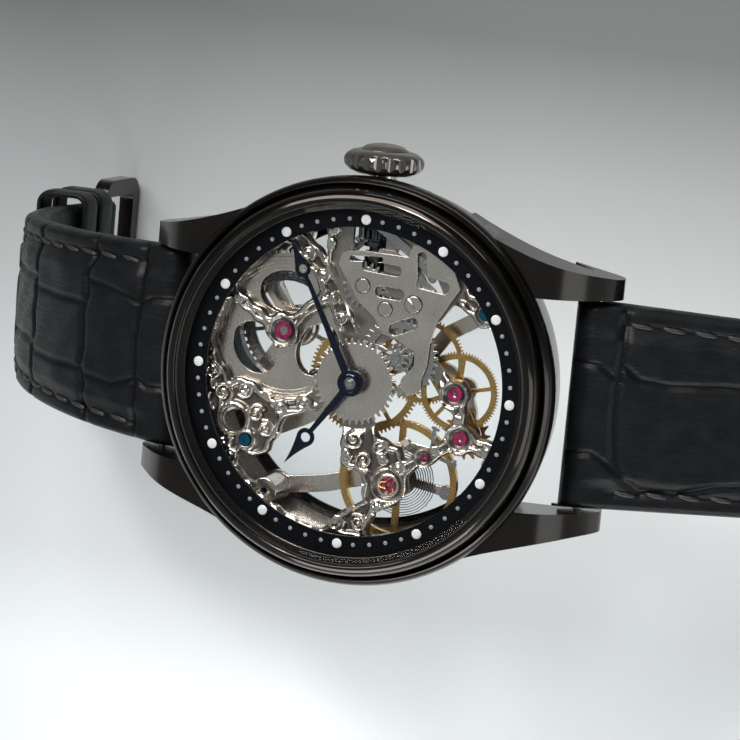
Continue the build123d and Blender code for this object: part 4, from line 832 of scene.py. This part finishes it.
def stitches(name, side, surface, start, stop, body):
    """Two rows of twisted thread stitches sunk in their grooves."""
    st, width, raised, top_across = surface
    parts = []
    for edge in (-1, 1):
        s = start
        while s < stop:
            i = int(np.argmin(abs(st[:, 3] - s - STITCH_HALF)))
            y, z, angle = st[i, 0], st[i, 1], math.radians(st[i, 2])
            at = edge * (width[i] - STITCH_INSET)
            k = int(np.argmin(abs(top_across[i] - at)))
            lift = raised[i, k] + STITCH_LIFT
            centre = (at, side * (y + lift * math.sin(angle)), z + lift * math.cos(angle))
            along = np.array([0.0, side * math.cos(angle), -math.sin(angle)])
            normal = np.array([0.0, side * math.sin(angle), math.cos(angle)])
            cross = np.cross(along, normal)
            verts = []
            rings, sides = 9, 8
            for a in range(rings):
                t = a / (rings - 1) * 2 - 1
                r = STITCH_R * math.sqrt(max(1 - abs(t) ** 4, 0.02))
                for b in range(sides):
                    phi = 2 * math.pi * b / sides
                    rr = r * (1 + 0.16 * math.cos(2 * phi + 7 * t))
                    verts.append(np.array(centre) + along * (t * STITCH_HALF)
                                 + cross * (rr * math.cos(phi) + 0.14 * t)
                                 + normal * (rr * 0.8 * math.sin(phi) - 0.10 * t * t))
            parts.append((verts, rod_faces(rings, sides)))
            s += STITCH_PITCH
    verts, faces = joined(parts)
    made = piece(name, verts, faces, THREAD, "strap_leather", body, angle=70.0)
    fix_normals(made)


def fix_normals(made):
    """Faces pointing outwards."""
    work = bmesh.new()
    work.from_mesh(made.data)
    bmesh.ops.recalc_face_normals(work, faces=work.faces)
    work.to_mesh(made.data)
    work.free()


def box_cutter(centre, size):
    """A plain block used only to cut with."""
    x, y, z = centre
    a, b, c = (v / 2 for v in size)
    verts = [(x + i * a, y + j * b, z + k * c) for i in (-1, 1) for j in (-1, 1) for k in (-1, 1)]
    faces = [(0, 1, 3, 2), (4, 6, 7, 5), (0, 4, 5, 1), (2, 3, 7, 6), (0, 2, 6, 4), (1, 5, 7, 3)]
    return piece("cutter", verts, faces, LEATHER, "")


def pin_cutter(places, radius, z0, z1):
    """Round rods used only to cut with."""
    rods = []
    for x, y in places:
        verts = [(x + radius * math.cos(a), y + radius * math.sin(a), z)
                 for z in (z0, z1) for a in np.linspace(0, 2 * math.pi, 24, endpoint=False)]
        rods.append((verts, rod_faces(2, 24)))
    return piece("cutter", *joined(rods), LEATHER, "")


def keeper_loop(name, z_middle, body, replaced):
    """A leather loop with rounded corners and thin walls."""
    half_x, half_y, corner = KEEPER_HALF_X, KEEPER_HALF_Y, KEEPER_CORNER
    path = []
    for cx, cy, a0 in ((1, 1, 0), (-1, 1, 90), (-1, -1, 180), (1, -1, 270)):
        for t in np.linspace(0, 90, 9):
            a = math.radians(a0 + t)
            path.append((cx * (half_x - corner) + corner * math.cos(a),
                         cy * (half_y - corner) + corner * math.sin(a), math.cos(a), math.sin(a)))
    dense = []
    for here, there in zip(path, path[1:] + path[:1]):
        steps = max(1, int(math.hypot(there[0] - here[0], there[1] - here[1]) / 0.35))
        for i in range(steps):
            dense.append([a + (b - a) * (i / steps) for a, b in zip(here, there)])
    section = []
    for t in np.linspace(0, 2 * math.pi, 28, endpoint=False):
        u, v = math.cos(t), math.sin(t)
        out = np.sign(u) * abs(u) ** 0.55 * KEEPER_WALL / 2
        up = np.sign(v) * abs(v) ** 0.35 * KEEPER_H / 2
        bulge = 0.10 * (1 - (2 * up / KEEPER_H) ** 2) if u > 0 else 0.0
        section.append((out + bulge, up))
    verts = []
    for x, y, nx, ny in dense:
        size = math.hypot(nx, ny)
        for out, up in section:
            verts.append((x + nx / size * out, BUCKLE_Y + 1.1 + y + ny / size * out, z_middle + up))
    n, m = len(dense), len(section)
    made = piece(name, verts, ring_faces(n, m, loop=True), LEATHER, "strap_leather", body, replaced,
                 angle=60.0)
    # The keepers get no painted furrow shade.
    attribute(made, "painted_furrow_shade", np.zeros(len(verts)))
    flat_coordinates(made, np.array([(i * 0.35, section[k][1]) for i in range(n) for k in range(m)]))
    fix_normals(made)


def build_straps():
    """Both strap pieces, their stitches and the two keepers."""
    top, surface = build_strap("strap_short_leather", 1, short_path(), 50.0, 1.55, "strap_top",
                               ["strap_short"])
    fix_normals(top)
    cut(top, box_cutter((0, BUCKLE_Y, BUCKLE_Z - 0.3), (3.2, 6, 5.2)))
    stitches("strap_short_stitches", 1, surface, 3.6, 57.0, "strap_top")
    low, surface = build_strap("strap_long_leather", -1, long_path(), 46.0, 1.2, "strap_bottom",
                               ["strap_long"])
    fix_normals(low)
    holes = [(0, FIRST_HOLE_Y - HOLE_PITCH * i) for i in range(HOLE_COUNT)]
    cut(low, pin_cutter(holes, HOLE_R, GROUND_Z - 2, GROUND_Z + 5))
    stitches("strap_long_stitches", -1, surface, 3.4, surface[0][-1, 3] - 9.0, "strap_bottom")
    keeper_loop("keeper_fixed_leather", BUCKLE_Z + 4.6, "strap_top", ["fixed_keeper"])
    keeper_loop("keeper_sliding_leather", BUCKLE_Z + 9.3, "loop", ["sliding_keeper"])


build_straps()


# ------------------------------------------------------------------ dial details
def tube(points, radius, sides=8):
    """Verts and faces of a closed round wire through points."""
    line = [Vector(p) for p in points]
    verts = []
    for i, here in enumerate(line):
        way = (line[min(i + 1, len(line) - 1)] - line[max(i - 1, 0)]).normalized()
        side = way.cross(Vector((0, 0, 1)))
        side = side.normalized() if side.length > 1e-6 else Vector((1, 0, 0))
        rise = side.cross(way)
        for k in range(sides):
            a = 2 * math.pi * k / sides
            verts.append(tuple(here + side * radius * math.cos(a) + rise * radius * math.sin(a)))
    return verts, rod_faces(len(line), sides)


def build_dots():
    """Raised luminous dots: twelve large and forty-eight small, lightly domed."""
    for name, hours, radius, height, finish in (("track_dots_hour", True, 0.52, 0.10, DOT),
                                                ("track_dots_minute", False, 0.22, 0.05, DOT_DULL)):
        parts = []
        for i in (i for i in range(60) if (i % 5 == 0) == hours):
            a = math.radians(90 - 6 * i)
            parts.append(dome(radius, height, 9.201, (17.0 * math.cos(a), 17.0 * math.sin(a))))
        piece(name, *joined(parts), finish, "dot_white", "case", ["minute_dots"], angle=60.0)


def hand_outline(spec):
    """Outer outline of a hand in its own direction, counter-clockwise."""
    hub_r, ring_at, ring_r, tip_at, root_w, neck_w = (
        spec[key] for key in ("hub", "ring_at", "ring", "tip_at", "root", "neck"))
    lean = math.acos(ring_r / (tip_at - ring_at))
    points = []
    a0 = math.asin(min(root_w / 2 / hub_r, 1))
    for t in np.linspace(a0, 2 * math.pi - a0, 40):
        points.append((hub_r * math.cos(t), hub_r * math.sin(t)))
    b0 = math.asin(neck_w / 2 / ring_r)
    for t in np.linspace(math.pi + b0, 2 * math.pi - lean, 14):
        points.append((ring_at + ring_r * math.cos(t), ring_r * math.sin(t)))
    waist = (ring_at + 0.55 * (tip_at - ring_at), 0.22 * ring_r + 0.06)
    side = (ring_at + ring_r * math.cos(lean), ring_r * math.sin(lean))
    curve = []
    for t in np.linspace(0.12, 1, 10):
        x = (1 - t) ** 2 * side[0] + 2 * t * (1 - t) * waist[0] + t * t * tip_at
        y = (1 - t) ** 2 * side[1] + 2 * t * (1 - t) * (waist[1] * 0.8) + t * t * 0.04
        curve.append((x, y))
    points += [(x, -y) for x, y in curve]
    points += curve[::-1]
    for t in np.linspace(lean, math.pi - b0, 14):
        points.append((ring_at + ring_r * math.cos(t), ring_r * math.sin(t)))
    return points


def build_hand(name, body, node):
    """A hand with bevelled edges, a pierced ring and a raised hub."""
    spec = HANDS[node]
    work = bmesh.new()
    z0 = spec["z"] * MM
    outer = [work.verts.new((x * MM, y * MM, z0)) for x, y in hand_outline(spec)]
    edges = [work.edges.new((a, b)) for a, b in zip(outer, outer[1:] + outer[:1])]
    for cx, r, n in ((0, spec["bore"], 32), (spec["ring_at"], spec["hole"], 28)):
        ring = [work.verts.new(((cx + r * math.cos(2 * math.pi * i / n)) * MM,
                                r * math.sin(2 * math.pi * i / n) * MM, z0)) for i in range(n)]
        edges += [work.edges.new((a, b)) for a, b in zip(ring, ring[1:] + ring[:1])]
    bmesh.ops.triangle_fill(work, use_beauty=True, use_dissolve=False, edges=edges)
    made = bmesh.ops.extrude_face_region(work, geom=list(work.faces))
    for v in made["geom"]:
        if isinstance(v, bmesh.types.BMVert):
            v.co.z += HAND_THICK * MM
    bmesh.ops.recalc_face_normals(work, faces=work.faces)
    turn = Matrix.Rotation(math.radians(90 - spec["angle"]), 3, "Z")
    bmesh.ops.rotate(work, verts=work.verts, cent=(0, 0, 0), matrix=turn)
    mesh = bpy.data.meshes.new(name)
    work.to_mesh(mesh)
    work.free()
    hand = placed(name, mesh)
    paint(hand, HAND_BLUE)
    bevel(hand, 0.05)
    smooth(hand, 40.0)
    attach(hand, body)
    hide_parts(node)


def build_centre():
    """Polished collars under the hands, thin dark rings of painted shadow round the cover's heads, turned
    rings on the barrel and the bright pin of the centre arbor.
    """
    collar = lathe([(0.62, 9.66), (0.95, 9.66), (1.02, 9.72), (0.98, 9.80), (0.86, 9.86), (0.62, 9.86)])
    piece("minute_collar", *collar, HAND_BLUE, "hand_black", "cannon")
    # Painted shadow: thin dark steel rings round the cover's screw and post heads, where the gaps round them
    # fall in shade.
    lines = [lathe([(r, 8.20), (r + 0.09, 8.20), (r + 0.09, 8.232), (r, 8.232)], 40, at)
             for r, at in ((0.75, INTERMEDIATE), (0.75, SETTING), (0.89, (8.8, -5.6)))]
    piece("cover_painted_shadow_rings", *joined(lines), DARK_STEEL, "steel", "case")
    rings = [lathe([(r, 6.55), (r + 0.26, 6.55), (r + 0.22, 6.64), (r + 0.04, 6.64)], 96, BARREL)
             for r in (6.36, 6.70, 7.04)]
    piece("barrel_turned_rings", *joined(rings), RHODIUM, "rhodium", "drum")
    pin = lathe([(0.0, 9.60), (0.41, 9.60), (0.41, 9.93), (0.36, 9.99), (0.22, 10.03), (0.0, 10.04)])
    piece("centre_pin_cap", *pin, STEEL, "steel", "centre")


def jewel_profile(bore, radius, low, high):
    """Section of a domed jewel with an oil cup round its hole."""
    cup = min(0.45 * radius, bore + 0.22)
    return [(bore, low), (radius, low), (radius, high - 0.06), (radius - 0.05, high),
            (cup + 0.10, high), (cup, high - 0.03), (bore + 0.02, high - 0.10), (bore, high - 0.14)]


def build_jewels():
    """Jewels of the plate with their oil cups, and the gold spring over the balance jewel."""
    parts = [lathe(jewel_profile(0.56, 0.98, 7.0, 7.34), 40, BARREL)]
    for at, r, bore in ((ESCAPE, 0.76, 0.14), (FOURTH, 0.80, 0.16), (PALLET, 0.43, 0.14), (THIRD, 0.48, 0.16),
                        ((0, 0), 0.93, 0.44)):
        parts.append(lathe(jewel_profile(bore, r, 7.0, 7.30), 36, at))
    piece("plate_jewels_polished", *joined(parts), RUBY, "ruby", "case", ["plate_jewels"])
    setting = lathe([(0.30, 6.98), (0.86, 6.98), (0.86, 7.16), (0.70, 7.22), (0.30, 7.24)], 36, BALANCE)
    high = lathe([(0.30, 2.2), (0.95, 2.2), (0.95, 2.4), (0.30, 2.4)], 36, BALANCE)
    piece("balance_cap_jewels", *joined([setting, high]), RUBY, "ruby", "case", ["shock_settings"])
    collar = lathe([(0.86, 6.96), (1.23, 6.96), (1.23, 7.34), (1.12, 7.38), (0.98, 7.36), (0.86, 7.24)],
                   40, BALANCE)
    under = lathe([(0.95, 2.06), (1.06, 2.06), (1.06, 2.48), (0.95, 2.48)], 40, BALANCE)
    piece("balance_collars", *joined([collar, under]), RHODIUM, "rhodium", "case")
    arms = []
    for i in range(3):
        a = math.radians(30 + 120 * i)
        line = []
        for t in np.linspace(0, 1, 15):
            r = 1.02 - 0.62 * math.sin(math.pi * t) ** 0.8
            b = a + math.radians(-50 + 100 * t)
            line.append((BALANCE[0] + r * math.cos(b), BALANCE[1] + r * math.sin(b), 7.33))
        arms.append(tube(line, 0.06))
    fix_normals(piece("balance_lyre_spring", *joined(arms), BRASS, "brass_gold", "case", angle=60.0))


for hard_node, edge_width in EDGED.items():
    finished(hard_node, edge_width, CRISP_CASE if hard_node == "case_middle" else CRISP)
build_dots()
build_hand("hour_hand_blue", "hours", "hour_hand")
build_hand("minute_hand_blue", "cannon", "minute_hand")
build_centre()
build_jewels()


# ------------------------------------------------------------------ stage, lights and camera
def stage_floor():
    """A wide pale floor that the watch stands on, with painted shade: darker towards the crown and 12
    o'clock, standing in for how the studio light falls off.
    """
    made, nt, shader = material("floor_pale")
    coords = add(nt, "ShaderNodeTexCoord").outputs["Object"]
    split = add(nt, "ShaderNodeSeparateXYZ", Vector=coords)
    ramp = add(nt, "ShaderNodeValToRGB", i0=spread(nt, split.outputs["X"], 0.0, 1.0, -0.10, 0.10))
    stops = ramp.color_ramp.elements
    # Painted shade: the floor colour falls from pale to dark grey towards the crown side.
    painted_falloff_tones = ((0.15, 0.97), (0.23, 0.96), (0.31, 0.72), (0.41, 0.66), (0.50, 0.50), (0.585, 0.35),
             (0.67, 0.155), (0.80, 0.105))
    stops[0].position, stops[1].position = painted_falloff_tones[0][0], painted_falloff_tones[-1][0]
    for at, tone in painted_falloff_tones:
        stop = stops[0] if at == painted_falloff_tones[0][0] else stops[-1] if at == painted_falloff_tones[-1][0] else stops.new(at)
        stop.color = (tone * 0.96, tone, min(tone * 1.015, 1.0), 1)
    # Painted shade: the floor colour is darkened further towards 12 o'clock.
    shade = spread(nt, split.outputs["Y"], 0.0, 0.42, 0.0, 0.07)
    fill(nt, shader, Roughness=0.35,
         Base_Color=blend_colour(nt, shade, ramp.outputs["Color"], (0.22, 0.24, 0.25), "MULTIPLY"))
    size = 1500.0
    floor = piece("floor", [(i * size, j * size, FLOOR_Z) for i, j in ((-1, -1), (1, -1), (1, 1), (-1, 1))],
                  [(0, 1, 2, 3)], made, "")


def softbox(name, along, distance, size, power, colour=(1, 1, 1)):
    """A soft area light, placed by its direction in the camera's axes: right, up, back."""
    data = bpy.data.lights.new(name, "AREA")
    data.shape = "RECTANGLE"
    data.size, data.size_y = size
    data.energy = power
    data.color = colour
    lamp = placed(name, data)
    way = (RIGHT * along[0] + UP * along[1] + BACK * along[2]).normalized()
    lamp.location = way * distance
    lamp.rotation_mode = "QUATERNION"
    lamp.rotation_quaternion = way.to_track_quat("Z", "Y")


def studio():
    """Pale world, softboxes and the camera."""
    world = bpy.data.worlds.new("studio")
    bpy.context.scene.world = world
    world.use_nodes = True
    sky = world.node_tree
    way = add(sky, "ShaderNodeSeparateXYZ", Vector=add(sky, "ShaderNodeTexCoord").outputs["Generated"])
    side = spread(sky, way.outputs["X"], 0.0, 1.0, -0.55, 0.5)
    sky.links.new(blend_colour(sky, side, (0.96, 1.0, 1.0), (0.05, 0.055, 0.06)),
                  sky.nodes["Background"].inputs["Color"])
    sky.nodes["Background"].inputs["Strength"].default_value = 0.42
    softbox("key", (-0.55, 0.8, 0.9), 0.9, (0.7, 0.5), 9.0, (1.0, 0.97, 0.94))
    softbox("glint", (-0.35, 0.5, 1.0), 0.8, (0.10, 0.10), 2.2, (1.0, 0.98, 0.95))
    softbox("fill", (0.9, -0.5, 0.8), 1.0, (0.6, 0.6), 2.6, (0.93, 0.97, 1.0))
    softbox("low", (-0.2, -1.0, 0.25), 0.8, (0.8, 0.3), 5.2)
    softbox("back", (0.3, 1.0, 0.1), 0.9, (0.9, 0.3), 4.0)
    data = bpy.data.cameras.new("camera")
    data.lens = 145.95
    data.sensor_width = 36.0
    data.clip_start, data.clip_end = 0.01, 10.0
    camera = placed("camera", data)
    x, z = RIGHT.normalized(), BACK.normalized()
    y = z.cross(x).normalized()
    x = y.cross(z).normalized()
    camera.matrix_world = Matrix((
        (x.x, y.x, z.x, EYE.x), (x.y, y.y, z.y, EYE.y), (x.z, y.z, z.z, EYE.z), (0, 0, 0, 1)))
    bpy.context.scene.camera = camera
    bpy.context.scene.view_settings.view_transform = "Standard"


stage_floor()
studio()

bpy.context.view_layer.update()
